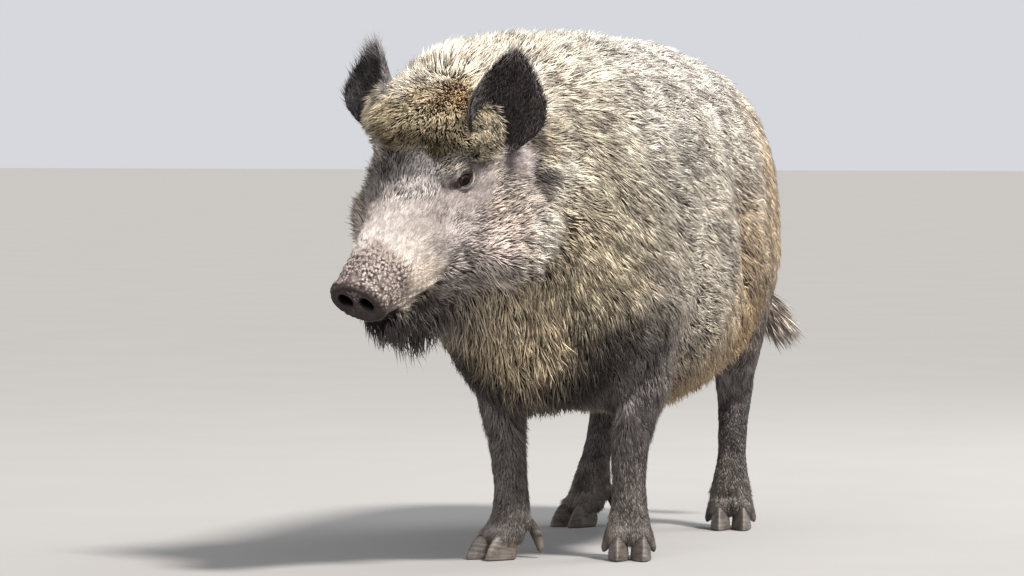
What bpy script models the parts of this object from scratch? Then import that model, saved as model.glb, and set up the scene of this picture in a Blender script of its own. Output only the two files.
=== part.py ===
"""A standing wild boar, life size, as one still body parted by thin cuts.

Every outline is the coat's outer surface. The boar faces -Y, its left side is +X and it stands on z = 0.
The flesh is lofted from named sections, fused by a voxel remesh, then cut into head, neck, trunk and legs.
Ears, eyes, tail, hooves and dewclaws are shapes of their own.
"""

import math
from collections import namedtuple

import bmesh
import bpy
import numpy as np
from mathutils import Matrix, Vector

# Driving dimensions, in metres and degrees.
GAP = 0.0004  # clearance between neighbouring solids
BODY_VOXEL = 0.006  # grid that fuses the body
FOOT_VOXEL = 0.0035  # finer grid for the feet, which have cleft toes
BODY_FACES = 2350  # triangles left on the fused body
FOOT_FACES = 180  # triangles left on each lower leg
LOFT_SIDES = 40  # points round a section before the remesh
SPAN_STEPS = 6  # rings between two named sections
FULLNESS = 0.9  # 1 is an oval section, less is squarer

SNOUT = Vector((-0.176, -0.453, 0.414))  # centre of the snout's disc
HEAD_TURN = 23.0  # to the boar's right
HEAD_DROP = 42.0  # nose below the horizontal
HEAD_ROLL = 10.0  # left cheek lowered

DISC_DEPTH = 0.014
NOSTRIL_RADIUS = 0.0065
NOSTRIL_SPREAD = 0.0175  # from the disc's centre to each nostril
MOUTH_LENGTH = 0.142
MOUTH_SLOPE = 8.0  # falls towards the corner
EYE_RADIUS = 0.0125
EYE_PLACE = (0.235, 0.0735, 0.053)  # behind the disc, to the side, above the head's axis
EYE_PIT_RADIUS = 0.021

EAR_HALF_WIDTH = 0.059
EAR_THICKNESS = 0.009
EAR_PLACE = (0.302, 0.102, 0.068)  # behind the disc, to the side, above the head's axis

LEG_CUT_FORE = 0.180  # height of the cut between upper and lower foreleg
LEG_CUT_HIND = 0.215

Ring = namedtuple("Ring", "y x top mid bottom half_width egg")
HeadRing = namedtuple("HeadRing", "behind half_width top mid bottom egg")
Joint = namedtuple("Joint", "x y z half_width half_depth")
Foot = namedtuple("Foot", "leg_cut joints hip reach step turn")
Ear = namedtuple("Ear", "length point facing")

# Trunk and neck from rump to throat: upright sections across the spine.
TRUNK = (
    Ring(0.868, 0.000, 0.625, 0.500, 0.430, 0.060, 0.00),
    Ring(0.845, 0.000, 0.696, 0.500, 0.375, 0.118, -0.03),
    Ring(0.780, 0.000, 0.755, 0.480, 0.320, 0.163, -0.06),
    Ring(0.680, 0.000, 0.790, 0.475, 0.270, 0.188, -0.08),
    Ring(0.540, 0.000, 0.810, 0.465, 0.243, 0.208, -0.03),
    Ring(0.400, 0.000, 0.821, 0.460, 0.230, 0.220, 0.02),
    Ring(0.260, 0.000, 0.824, 0.465, 0.225, 0.221, 0.06),
    Ring(0.120, 0.000, 0.828, 0.475, 0.228, 0.210, 0.10),
    Ring(0.000, -0.004, 0.830, 0.485, 0.235, 0.196, 0.10),
    Ring(-0.090, -0.020, 0.824, 0.520, 0.275, 0.178, 0.08),
    Ring(-0.160, -0.045, 0.824, 0.560, 0.330, 0.163, 0.05),
    Ring(-0.215, -0.070, 0.806, 0.590, 0.385, 0.145, 0.05),
    Ring(-0.255, -0.082, 0.772, 0.600, 0.430, 0.115, 0.05),
)

# Head from the disc back into the neck: sections across its own axis.
HEAD = (
    HeadRing(0.000, 0.048, 0.035, 0.000, -0.036, 0.00),
    HeadRing(0.016, 0.050, 0.039, 0.000, -0.040, 0.00),
    HeadRing(0.040, 0.047, 0.044, 0.000, -0.048, 0.02),
    HeadRing(0.080, 0.054, 0.052, -0.005, -0.076, 0.06),
    HeadRing(0.120, 0.066, 0.058, -0.010, -0.100, 0.12),
    HeadRing(0.160, 0.084, 0.066, -0.016, -0.140, 0.18),
    HeadRing(0.200, 0.106, 0.078, -0.022, -0.160, 0.22),
    HeadRing(0.250, 0.132, 0.096, -0.030, -0.175, 0.20),
    HeadRing(0.300, 0.150, 0.122, -0.030, -0.184, 0.14),
    HeadRing(0.350, 0.158, 0.148, -0.028, -0.186, 0.08),
    HeadRing(0.400, 0.156, 0.152, -0.024, -0.175, 0.05),
    HeadRing(0.450, 0.125, 0.130, -0.020, -0.145, 0.05),
)

# Legs from inside the body down to the pastern; x counts outwards on both sides.
FORELEG = (
    Joint(0.095, 0.020, 0.520, 0.070, 0.110),
    Joint(0.122, 0.052, 0.400, 0.062, 0.108),
    Joint(0.122, 0.074, 0.310, 0.053, 0.082),
    Joint(0.112, 0.056, 0.245, 0.041, 0.052),
    Joint(0.104, 0.046, 0.190, 0.033, 0.037),
    Joint(0.101, 0.046, 0.150, 0.030, 0.031),
    Joint(0.100, 0.048, 0.110, 0.028, 0.030),
    Joint(0.100, 0.048, 0.080, 0.030, 0.032),
    Joint(0.100, 0.036, 0.054, 0.027, 0.026),
)
HINDLEG = (
    Joint(0.095, 0.640, 0.560, 0.078, 0.150),
    Joint(0.118, 0.655, 0.440, 0.070, 0.120),
    Joint(0.116, 0.672, 0.340, 0.052, 0.086),
    Joint(0.106, 0.704, 0.270, 0.037, 0.052),
    Joint(0.101, 0.723, 0.225, 0.031, 0.040),
    Joint(0.101, 0.713, 0.175, 0.026, 0.030),
    Joint(0.104, 0.694, 0.120, 0.025, 0.027),
    Joint(0.106, 0.680, 0.080, 0.030, 0.032),
    Joint(0.106, 0.668, 0.054, 0.027, 0.026),
)

# The oval cut that parts each upper leg from the trunk: its centre and its reach.
FORE_HIP, FORE_REACH = Vector((0.126, 0.054, 0.275)), (0.110, 0.138, 0.172)
HIND_HIP, HIND_REACH = Vector((0.118, 0.676, 0.318)), (0.110, 0.160, 0.190)

# Each foot's own step away from the even stance, and how far its toes turn outwards.
FEET = {
    "left_fore": Foot(LEG_CUT_FORE, FORELEG, FORE_HIP, FORE_REACH, Vector((0.006, 0.002, 0)), 17.0),
    "right_fore": Foot(LEG_CUT_FORE, FORELEG, FORE_HIP, FORE_REACH, Vector((0.031, -0.053, 0)), 28.0),
    "left_hind": Foot(LEG_CUT_HIND, HINDLEG, HIND_HIP, HIND_REACH, Vector((0.000, 0.000, 0)), 15.0),
    "right_hind": Foot(LEG_CUT_HIND, HINDLEG, HIND_HIP, HIND_REACH, Vector((-0.032, -0.020, 0)), 28.0),
}
STEP_TOP = 0.52  # height at which a foot's step fades out

# Each ear's length, where its tip points and where it opens: behind, outwards, up.
EARS = {
    "left": Ear(0.152, (0.45, 0.30, 0.80), (-0.70, 0.70, 0.15)),
    "right": Ear(0.138, (0.50, 0.24, 0.80), (-0.95, 0.35, 0.15)),
}

FUR = {
    "body": ((0.46, 0.41, 0.33), 0.85),
    "head": ((0.42, 0.37, 0.31), 0.85),
    "dark": ((0.10, 0.085, 0.080), 0.80),
    "horn": ((0.075, 0.062, 0.055), 0.55),
    "disc": ((0.09, 0.065, 0.060), 0.45),
    "eye": ((0.020, 0.012, 0.010), 0.08),
}


def main():
    clear_scene()
    skins = {name: material(name, *finish) for name, finish in FUR.items()}
    head_frame = frame_of_head()
    body = fused_body(head_frame)
    feet = {name: foot_solids(name, foot) for name, foot in FEET.items()}
    part_body(body, head_frame, skins)
    for name, made in feet.items():
        for piece in made:
            piece.data.materials.append(skins["dark" if "leg" in piece.name else "horn"])
    tail(skins["dark"])
    stand_at_origin()


# ---------------------------------------------------------------- scene and mesh helpers


def clear_scene():
    """Removes what the new scene starts with."""
    for thing in list(bpy.data.objects):
        bpy.data.objects.remove(thing)


def material(name, colour, roughness):
    """A plain Principled finish."""
    made = bpy.data.materials.new(name)
    made.use_nodes = True
    shader = made.node_tree.nodes["Principled BSDF"]
    shader.inputs["Base Color"].default_value = (*colour, 1)
    shader.inputs["Roughness"].default_value = roughness
    return made


def object_of(name, mesh):
    made = bpy.data.objects.new(name, mesh)
    bpy.context.scene.collection.objects.link(made)
    return made


def object_from(name, points, faces):
    """A mesh object with its faces turned outwards."""
    mesh = bpy.data.meshes.new(name)
    mesh.from_pydata([tuple(p) for p in points], [], faces)
    shape = bmesh.new()
    shape.from_mesh(mesh)
    bmesh.ops.remove_doubles(shape, verts=shape.verts, dist=1e-6)
    bmesh.ops.recalc_face_normals(shape, faces=shape.faces)
    shape.to_mesh(mesh)
    shape.free()
    return object_of(name, mesh)


def discard(*things):
    for thing in things:
        bpy.data.objects.remove(thing)


def apply_modifiers(thing):
    """Replaces the object's mesh by what its modifiers make of it."""
    graph = bpy.context.evaluated_depsgraph_get()
    made = bpy.data.meshes.new_from_object(thing.evaluated_get(graph))
    thing.modifiers.clear()
    thing.data = made


def duplicate(thing, name):
    copy = thing.copy()
    copy.data = thing.data.copy()
    copy.name = name
    bpy.context.scene.collection.objects.link(copy)
    return copy


def boolean(thing, other, operation):
    cut = thing.modifiers.new(operation.lower(), "BOOLEAN")
    cut.operation = operation
    cut.solver = "EXACT"
    cut.object = other
    apply_modifiers(thing)


def swollen(thing, by):
    """A copy pushed out along its normals, to cut a clearance."""
    copy = duplicate(thing, thing.name + "_swollen")
    push = copy.modifiers.new("push", "DISPLACE")
    push.strength = by
    push.mid_level = 0
    apply_modifiers(copy)
    return copy


def clear_of(thing, *others):
    """Cuts the others out of the thing, with the gap."""
    for other in others:
        cutter = swollen(other, GAP)
        boolean(thing, cutter, "DIFFERENCE")
        discard(cutter)


def joined(name, parts):
    """One object that holds the parts' meshes."""
    shape = bmesh.new()
    for part in parts:
        shape.from_mesh(part.data)
    mesh = bpy.data.meshes.new(name)
    shape.to_mesh(mesh)
    shape.free()
    discard(*parts)
    return object_of(name, mesh)


def fuse(thing, voxel, smoothing, faces):
    """Makes overlapping shells one skin, softens it and thins its triangles."""
    grid = thing.modifiers.new("grid", "REMESH")
    grid.mode = "VOXEL"
    grid.voxel_size = voxel
    soften = thing.modifiers.new("soften", "SMOOTH")
    soften.factor = 0.5
    soften.iterations = smoothing
    apply_modifiers(thing)
    thin = thing.modifiers.new("thin", "DECIMATE")
    thin.ratio = faces / (2 * len(thing.data.polygons))
    apply_modifiers(thing)


# ---------------------------------------------------------------- lofts


def smooth_rows(rows, steps):
    """Rows of numbers joined by a Catmull-Rom curve, with this many steps in each span."""
    rows = np.array(rows, float)
    padded = np.vstack([2 * rows[0] - rows[1], rows, 2 * rows[-1] - rows[-2]])
    out = []
    for before, start, end, after in zip(padded, padded[1:], padded[2:], padded[3:]):
        for t in np.arange(steps) / steps:
            bend = 2 * before - 5 * start + 4 * end - after
            twist = 3 * start - before - 3 * end + after
            out.append(start + t * (end - before) / 2 + t * t * bend / 2 + t**3 * twist / 2)
    return np.array([*out, rows[-1]]).tolist()


def angles_round(count):
    """Equal angles once round, without the last."""
    return [2 * math.pi * k / count for k in range(count)]


def egg_outline(half_width, rise, drop, egg):
    """(across, up) points of a section that is wider below its middle by the share egg."""
    outline = []
    for angle in angles_round(LOFT_SIDES):
        side, up = (math.copysign(abs(v) ** FULLNESS, v) for v in (math.cos(angle), math.sin(angle)))
        outline.append((half_width * side * (1 - egg * up), (rise if up > 0 else drop) * up))
    return outline


def loft(name, rings):
    """A closed skin over rings of equally many points."""
    count = len(rings[0])
    points = [p for ring in rings for p in ring]
    faces = [list(range(count)), list(range(len(points) - count, len(points)))]
    for k in range(len(rings) - 1):
        for i in range(count):
            j = (i + 1) % count
            faces.append([k * count + i, k * count + j, (k + 1) * count + j, (k + 1) * count + i])
    return object_from(name, points, faces)


def ellipsoid(name, frame, centre, radii, turn=(0, 0, 0), facets=(32, 16)):
    """A ball scaled to three radii, turned and placed in a frame."""
    shape = bmesh.new()
    place = Matrix.Translation(centre) @ Matrix.Rotation(math.radians(turn[2]), 4, "Z")
    place = place @ Matrix.Rotation(math.radians(turn[1]), 4, "Y")
    place = place @ Matrix.Rotation(math.radians(turn[0]), 4, "X")
    bmesh.ops.create_uvsphere(shape, u_segments=facets[0], v_segments=facets[1], radius=1)
    bmesh.ops.transform(shape, verts=shape.verts, matrix=frame @ place @ Matrix.Diagonal((*radii, 1)))
    bmesh.ops.recalc_face_normals(shape, faces=shape.faces)
    mesh = bpy.data.meshes.new(name)
    shape.to_mesh(mesh)
    shape.free()
    return object_of(name, mesh)


def box(name, frame, low, high):
    """A box between two corners of a frame, to cut with."""
    shape = bmesh.new()
    middle = [(a + b) / 2 for a, b in zip(low, high)]
    size = [b - a for a, b in zip(low, high)]
    bmesh.ops.create_cube(shape, size=1)
    place = frame @ Matrix.Translation(middle) @ Matrix.Diagonal((*size, 1))
    bmesh.ops.transform(shape, verts=shape.verts, matrix=place)
    bmesh.ops.recalc_face_normals(shape, faces=shape.faces)
    mesh = bpy.data.meshes.new(name)
    shape.to_mesh(mesh)
    shape.free()
    return object_of(name, mesh)


# ---------------------------------------------------------------- body


def frame_of_head():
    """Columns: behind the disc, to the boar's left, up from the head's axis; origin at the disc."""
    turn = Matrix.Rotation(math.radians(-HEAD_TURN), 4, "Z")
    drop = Matrix.Rotation(math.radians(HEAD_DROP), 4, "X")
    roll = Matrix.Rotation(math.radians(HEAD_ROLL), 4, "Y")
    axes = Matrix(((0, 1, 0), (1, 0, 0), (0, 0, 1))).to_4x4()
    return Matrix.Translation(SNOUT) @ turn @ drop @ roll @ axes


def trunk_loft():
    rings = []
    for y, x, top, mid, bottom, half_width, egg in smooth_rows(TRUNK, SPAN_STEPS):
        outline = egg_outline(half_width, top - mid, mid - bottom, egg)
        rings.append([Vector((x + across, y, mid + up)) for across, up in outline])
    return loft("trunk_loft", rings)


def head_loft(frame):
    rings = []
    for behind, half_width, top, mid, bottom, egg in smooth_rows(HEAD, SPAN_STEPS):
        outline = egg_outline(half_width, top - mid, mid - bottom, egg)
        rings.append([frame @ Vector((behind, across, mid + up)) for across, up in outline])
    return loft("head_loft", rings)


def side_of(name):
    return 1 if name.startswith("left") else -1


def stepped(point, name, foot):
    """Moves a point of the leg towards its foot's own step, less the higher it is."""
    share = max(0.0, 1 - point.z / STEP_TOP)
    return Vector((side_of(name) * point.x, point.y, point.z)) + share * foot.step


def leg_loft(name, foot):
    """A leg with sections across its own line."""
    rows = smooth_rows(foot.joints, SPAN_STEPS)
    line = [stepped(Vector(row[:3]), name, foot) for row in rows]
    rings = []
    for k, row in enumerate(rows):
        along = (line[min(k + 1, len(line) - 1)] - line[max(k - 1, 0)]).normalized()
        ahead = Vector((1, 0, 0)).cross(along).normalized()
        across = along.cross(ahead)
        rings.append([line[k] + row[3] * math.cos(a) * across + row[4] * math.sin(a) * ahead
                      for a in angles_round(LOFT_SIDES)])
    return loft(name + "_leg_loft", rings)


def fused_body(head_frame):
    """Trunk, neck, head and legs as one skin."""
    ground = Matrix.Identity(4)
    parts = [trunk_loft(), head_loft(head_frame)]
    parts += [leg_loft(name, foot) for name, foot in FEET.items()]
    for side in (1, -1):
        parts.append(ellipsoid("shoulder", ground, (side * 0.110, 0.020, 0.480), (0.085, 0.125, 0.190), (12, 0, 0)))
        parts.append(ellipsoid("haunch", ground, (side * 0.105, 0.655, 0.480), (0.087, 0.150, 0.185), (-12, 0, 0)))
        parts.append(ellipsoid("cheek", head_frame, (0.268, side * 0.096, -0.080), (0.105, 0.076, 0.078)))
        parts.append(ellipsoid("brow", head_frame, (0.262, side * 0.052, 0.072), (0.050, 0.038, 0.030)))
    parts.append(ellipsoid("forelock", head_frame, (0.302, 0, 0.104), (0.074, 0.130, 0.060)))
    parts.append(ellipsoid("chin", head_frame, (0.052, 0, -0.066), (0.046, 0.038, 0.048), (0, HEAD_DROP, 0)))
    parts.append(ellipsoid("beard", head_frame, (0.114, 0, -0.122), (0.074, 0.050, 0.062), (0, HEAD_DROP, 0)))
    parts.append(ellipsoid("brisket", ground, (-0.016, -0.080, 0.325), (0.130, 0.110, 0.100)))
    parts.append(ellipsoid("dewlap", ground, (-0.052, -0.135, 0.425), (0.115, 0.105, 0.120)))
    body = joined("body", parts)
    fuse(body, BODY_VOXEL, 8, BODY_FACES)
    return body


def plane_frame(point, normal):
    """A frame whose X runs along the normal."""
    turn = Vector((1, 0, 0)).rotation_difference(Vector(normal)).to_matrix().to_4x4()
    return Matrix.Translation(point) @ turn


def taken(body, name, region, skin):
    """Parts the piece inside the region from the body, with the gap between them."""
    piece = duplicate(body, name)
    boolean(piece, region, "INTERSECT")
    piece.data.materials.clear()
    piece.data.materials.append(skin)
    wider = swollen(region, GAP)
    boolean(body, wider, "DIFFERENCE")
    discard(region, wider)
    return piece


def part_body(body, head_frame, skins):
    """Cuts the fused body into its named pieces."""
    fore = box("fore", Matrix.Identity(4), (-1, -1, -1), (1, 0.35, LEG_CUT_FORE + GAP / 2))
    hind = box("hind", Matrix.Identity(4), (-1, 0.35, -1), (1, 2, LEG_CUT_HIND + GAP / 2))
    boolean(body, fore, "DIFFERENCE")
    boolean(body, hind, "DIFFERENCE")
    discard(fore, hind)
    for name, foot in FEET.items():
        region = ellipsoid("leg", Matrix.Identity(4), stepped(foot.hip, name, foot), foot.reach, facets=(14, 8))
        taken(body, name + "_leg_upper", region, skins["body"])
    nape = head_frame @ Matrix.Translation((0.37, 0, 0.15)) @ Matrix.Rotation(math.radians(16), 4, "Y")
    head = taken(body, "head", box("before_nape", nape, (-0.6, -0.3, -0.41), (0, 0.3, 0.3)), skins["head"])
    trunk_cut = plane_frame((0, -0.06, 0.56), (0, 0.988, -0.152))
    taken(body, "neck", box("neck_region", trunk_cut, (-1, -1, -1), (0, 1, 1)), skins["body"])
    body.name = "trunk"
    body.data.materials.clear()
    body.data.materials.append(skins["body"])
    part_head(head, head_frame, skins)


def part_head(head, frame, skins):
    """Takes the disc and the lower jaw off the head and sets in eyes and ears."""
    mouth = frame @ Matrix.Translation((0.026, 0, -0.043)) @ Matrix.Rotation(math.radians(MOUTH_SLOPE), 4, "Y")
    taken(head, "lower_jaw", box("jaw", mouth, (-0.15, -0.3, -0.158), (MOUTH_LENGTH, 0.3, 0)), skins["dark"])
    disc = taken(head, "snout_disc", box("disc", frame, (-0.1, -0.2, -0.2), (DISC_DEPTH, 0.2, 0.2)), skins["disc"])
    for side in (1, -1):
        pit = (0.010, NOSTRIL_RADIUS, 0.0085)
        nostril = ellipsoid("nostril", frame, (0, side * NOSTRIL_SPREAD, 0.002), pit, facets=(10, 6))
        boolean(disc, nostril, "DIFFERENCE")
        discard(nostril)
    for side, name in ((1, "left"), (-1, "right")):
        behind, out, above = EYE_PLACE
        centre = Vector((behind, side * out, above))
        pit = ellipsoid("pit", frame, centre + Vector((-0.004, side * 0.016, 0.002)), (EYE_PIT_RADIUS,) * 3)
        boolean(head, pit, "DIFFERENCE")
        discard(pit)
        eye = ellipsoid(name + "_eye", frame, centre, (EYE_RADIUS,) * 3, facets=(14, 8))
        eye.data.materials.append(skins["eye"])
        clear_of(head, eye)
        ear = ear_solid(name + "_ear", frame, side)
        ear.data.materials.append(skins["dark"])
        clear_of(ear, head, bpy.data.objects["neck"])


def ear_solid(name, frame, side):
    """A cupped leaf: half-width sin-like along it, rolled tighter towards its base."""
    along = [k / 6 for k in range(7)]
    across = [k / 3 for k in range(-3, 4)]
    behind, out, above = EAR_PLACE
    length, point, facing = EARS[name.split("_")[0]]
    mirror = Vector((1, side, 1))
    point = (Vector(point) * mirror).normalized()
    facing = Vector(facing) * mirror
    facing = (facing - facing.dot(point) * point).normalized()
    axes = Matrix((facing, point.cross(facing), point)).transposed().to_4x4()
    place = frame @ Matrix.Translation((behind, side * out, above)) @ axes
    points, faces = [], []
    for t in along:
        half = EAR_HALF_WIDTH * (0.62 + 0.50 * math.sin(math.pi * min(t / 0.9, 1))) * math.sqrt(1.003 - t**2.4)
        curl = math.radians(95 - 55 * t)
        for v in across:
            sideways = half / curl * math.sin(curl * v)
            ahead = half / curl * (1 - math.cos(curl * v)) - 0.012
            points.append(place @ Vector((ahead, sideways, length * t)))
    width = len(across)
    for k in range(len(along) - 1):
        for i in range(width - 1):
            faces.append([k * width + i, k * width + i + 1, (k + 1) * width + i + 1, (k + 1) * width + i])
    ear = object_from(name, points, faces)
    shell = ear.modifiers.new("shell", "SOLIDIFY")
    shell.thickness = EAR_THICKNESS
    shell.offset = 0
    apply_modifiers(ear)
    return ear


# ---------------------------------------------------------------- feet and tail


def almond(centre, half_length, half_width, height, slope, sides):
    """A flat outline in foot axes, pointed in front; slope lifts its front."""
    ring = []
    for angle in angles_round(sides):
        ahead = half_length * math.cos(angle)
        out = half_width * math.sin(angle) * (1 - 0.32 * math.cos(angle))
        ring.append(Vector((centre.x + out, centre.y - ahead, height + slope * ahead)))
    return ring


def hoof_solid(name, frame, inner):
    """One toe's horn: a flat sole that narrows up to a sloping coronet."""
    rows = smooth_rows(((0.046, 0.0310, 0.0140, 0.000, 0.0), (0.044, 0.0315, 0.0145, 0.008, 0.05),
                        (0.038, 0.0270, 0.0138, 0.022, 0.20), (0.033, 0.0200, 0.0120, 0.034, 0.30)), 1)
    rings = []
    for ahead, half_length, half_width, height, slope in rows:
        centre = Vector((inner * 0.0175, -ahead, 0))
        rings.append([frame @ p for p in almond(centre, half_length, half_width, height, slope, 12)])
    return loft(name, rings)


def dewclaw_solid(name, frame, inner):
    """A small blunt horn behind the fetlock that points down and outwards."""
    root = Vector((inner * 0.020, 0.014, 0.062))
    tip = Vector((inner * 0.040, 0.026, 0.008))
    rings = []
    for t, radius in ((0, 0.0090), (0.5, 0.0092), (0.85, 0.0062), (1, 0.0026)):
        centre = root.lerp(tip, t) + Vector((0, 0.006 * math.sin(math.pi * t), 0))
        along = (tip - root).normalized()
        across = along.cross(Vector((0, 1, 0))).normalized()
        ahead = along.cross(across)
        rings.append([frame @ (centre + radius * (math.cos(a) * across + 0.8 * math.sin(a) * ahead))
                      for a in angles_round(7)])
    return loft(name, rings)


def toe_flesh(name, frame, inner):
    """Flesh from the fetlock down into one hoof."""
    rings = []
    for ahead, out, height, radius in ((-0.004, 0.006, 0.085, 0.024), (0.012, 0.012, 0.062, 0.020),
                                       (0.026, 0.0165, 0.042, 0.0155), (0.036, 0.0175, 0.026, 0.0130)):
        centre = Vector((inner * out, -ahead, height))
        rings.append([frame @ (centre + radius * Vector((math.cos(a), 1.1 * math.sin(a), 0.45 * math.sin(a))))
                      for a in angles_round(20)])
    return loft(name, rings)


def foot_solids(name, foot):
    """The lower leg with two hooves and two dewclaws let into it."""
    fetlock = stepped(Vector(foot.joints[-2][:3]), name, foot)
    turn = Matrix.Rotation(math.radians(side_of(name) * foot.turn), 4, "Z")
    frame = Matrix.Translation((fetlock.x, fetlock.y, 0)) @ turn
    horns = []
    shank = leg_loft(name, foot)
    above = box("above", Matrix.Identity(4), (-1, -1, foot.leg_cut + 0.03), (1, 2, 2))
    boolean(shank, above, "DIFFERENCE")
    discard(above)
    flesh = [shank]
    for side, label in ((1, "left"), (-1, "right")):
        horns.append(hoof_solid(f"{name}_hoof_{label}", frame, side))
        horns.append(dewclaw_solid(f"{name}_dewclaw_{label}", frame, side))
        flesh.append(toe_flesh("toe", frame, side))
    leg = joined(name + "_leg_lower", flesh)
    fuse(leg, FOOT_VOXEL, 4, FOOT_FACES)
    above = box("above", Matrix.Identity(4), (-1, -1, foot.leg_cut - GAP / 2), (1, 2, 2))
    boolean(leg, above, "DIFFERENCE")
    discard(above)
    clear_of(leg, *horns)
    return [leg, *horns]


def tail(skin):
    """A tapering tail swung to the left, with a tassel at its end."""
    rows = smooth_rows(((0.000, 0.835, 0.575, 0.022), (0.006, 0.875, 0.540, 0.018), (0.028, 0.892, 0.480, 0.016),
                        (0.066, 0.892, 0.425, 0.018), (0.102, 0.888, 0.385, 0.029), (0.126, 0.884, 0.350, 0.026),
                        (0.142, 0.882, 0.322, 0.006)), 2)
    rings = []
    for k, (x, y, z, radius) in enumerate(rows):
        along = Vector(rows[min(k + 1, len(rows) - 1)][:3]) - Vector(rows[max(k - 1, 0)][:3])
        turn = Vector((0, 0, 1)).rotation_difference(along).to_matrix()
        rings.append([Vector((x, y, z)) + turn @ (radius * Vector((math.cos(a), math.sin(a), 0)))
                      for a in angles_round(8)])
    made = loft("tail", rings)
    made.data.materials.append(skin)
    clear_of(made, bpy.data.objects["trunk"])
    return made


def stand_at_origin():
    """Moves everything so that the origin is under the middle of the boar, on the floor."""
    bpy.context.view_layer.update()
    corners = [thing.matrix_world @ Vector(c) for thing in bpy.data.objects for c in thing.bound_box]
    low = Vector([min(c[k] for c in corners) for k in range(3)])
    high = Vector([max(c[k] for c in corners) for k in range(3)])
    middle = Vector(((low.x + high.x) / 2, (low.y + high.y) / 2, low.z))
    for thing in bpy.data.objects:
        thing.data.transform(Matrix.Translation(-middle))
        thing.data.shade_smooth()
        thing.data.set_sharp_from_angle(angle=math.radians(50))


main()
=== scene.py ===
"""A standing wild boar, life size: one skin under a coat of mesh tufts, with its own eyes, lids and hooves.

The boar faces -Y, its left side is +X and it stands on z = 0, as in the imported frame.
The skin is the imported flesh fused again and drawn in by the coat's depth, then sculpted by formulas.
The coat's patches say how long, how raised and how coloured it is, and where it lies; skin and tufts share them.
"""

import math
from collections import namedtuple

import bmesh
import bpy
import numpy as np
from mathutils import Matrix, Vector


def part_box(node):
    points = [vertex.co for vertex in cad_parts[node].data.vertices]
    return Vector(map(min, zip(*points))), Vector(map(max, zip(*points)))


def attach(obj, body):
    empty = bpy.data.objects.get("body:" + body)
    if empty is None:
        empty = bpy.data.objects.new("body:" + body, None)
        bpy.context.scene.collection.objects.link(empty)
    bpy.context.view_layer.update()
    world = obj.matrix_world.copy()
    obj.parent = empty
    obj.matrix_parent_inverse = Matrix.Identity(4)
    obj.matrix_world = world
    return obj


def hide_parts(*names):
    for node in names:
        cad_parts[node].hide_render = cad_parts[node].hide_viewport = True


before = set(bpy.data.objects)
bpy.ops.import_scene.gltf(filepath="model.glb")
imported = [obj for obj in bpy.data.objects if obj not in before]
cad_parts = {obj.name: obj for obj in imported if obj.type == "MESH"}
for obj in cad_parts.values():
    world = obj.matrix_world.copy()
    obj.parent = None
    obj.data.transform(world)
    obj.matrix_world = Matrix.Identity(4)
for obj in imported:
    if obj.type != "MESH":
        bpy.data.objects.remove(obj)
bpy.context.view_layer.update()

# ---------------------------------------------------------------- dimensions, in metres and degrees

SNOUT = np.array((-0.176, -0.453, 0.414))  # the disc's centre before the boar was centred
HEAD_TURN, HEAD_DROP, HEAD_ROLL = 23.0, 42.0, 10.0
EYE_PLACE = np.array((0.235, 0.0735, 0.053))  # behind the disc, to the side, above the head's axis
EYE_RADIUS = 0.0125
EYE_OPENING = (0.0168, 0.0136), (0.0106, 0.0080)  # half-widths to the front and back, half-heights up and down
SOCKET_RADIUS, LID_THICKNESS, RIM_RADIUS = 0.0215, 0.0024, 0.0013
GAZE = np.array((-0.50, 0.85, 0.12))  # an eye's outward axis in the head's frame
EAR_PLACE = np.array((0.295, 0.098, 0.068))
SIDES = {"left": 1, "right": -1}
EARS = {  # length, half-width, where the tip points and where the open side faces, in the head's frame
    "left": (0.150, 0.077, (0.45, 0.30, 0.80), (-0.70, 0.70, 0.15)),
    "right": (0.122, 0.070, (0.50, 0.24, 0.80), (-0.96, 0.24, 0.18)),
}
DISC_HALF_WIDTH, DISC_HALF_HEIGHT = 0.0465, 0.0350
NOSTRIL = (0.0195, 0.0010)  # to the side of the disc's middle, and above it
MOUTH_START, MOUTH_SLOPE = (0.026, -0.043), 8.0
TAIL = ((0.000, 0.800, 0.590, 0.016), (0.000, 0.835, 0.575, 0.013), (0.006, 0.875, 0.540, 0.011),
        (0.028, 0.892, 0.480, 0.009), (0.066, 0.892, 0.425, 0.008), (0.100, 0.888, 0.385, 0.007),
        (0.118, 0.885, 0.362, 0.004))
FEET = {  # the leg's place before centring, its foot's step aside and back, the toes' turn outwards, its side
    "left_fore": ((0.100, 0.048), 0.006, 0.002, 17.0, 1),
    "right_fore": ((0.100, 0.048), 0.031, -0.053, 28.0, -1),
    "left_hind": ((0.106, 0.680), 0.000, 0.000, 15.0, 1),
    "right_hind": ((0.106, 0.680), -0.032, -0.020, 28.0, -1),
}
STEP_TOP, FETLOCK_HEIGHT = 0.52, 0.080
PADS = (  # balls of flesh on a toe: to its side, behind and above the foot's origin, and the radius
    ((0.0205, 0.0125, 0.060), 0.0140),
    ((0.0175, -0.033, 0.0345), 0.0165),
    ((0.0165, -0.012, 0.0440), 0.0190),
)

FINE = 0.0040  # the skin's grid
SKIN_FACES = 105000  # triangles left before the face is refined
TUFTS = {"body": 152000, "face": 44000, "shanks": 44000, "ear": 9000, "tail": 5200}
DUST = (0.30, 0.265, 0.235, 1)

FLESH = ["head", "neck", "trunk", "tail", "lower_jaw", "snout_disc", "left_ear", "right_ear"]
FLESH += [f"{leg}_leg_{half}" for leg in FEET for half in ("upper", "lower")]

# ---------------------------------------------------------------- where things are


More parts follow.
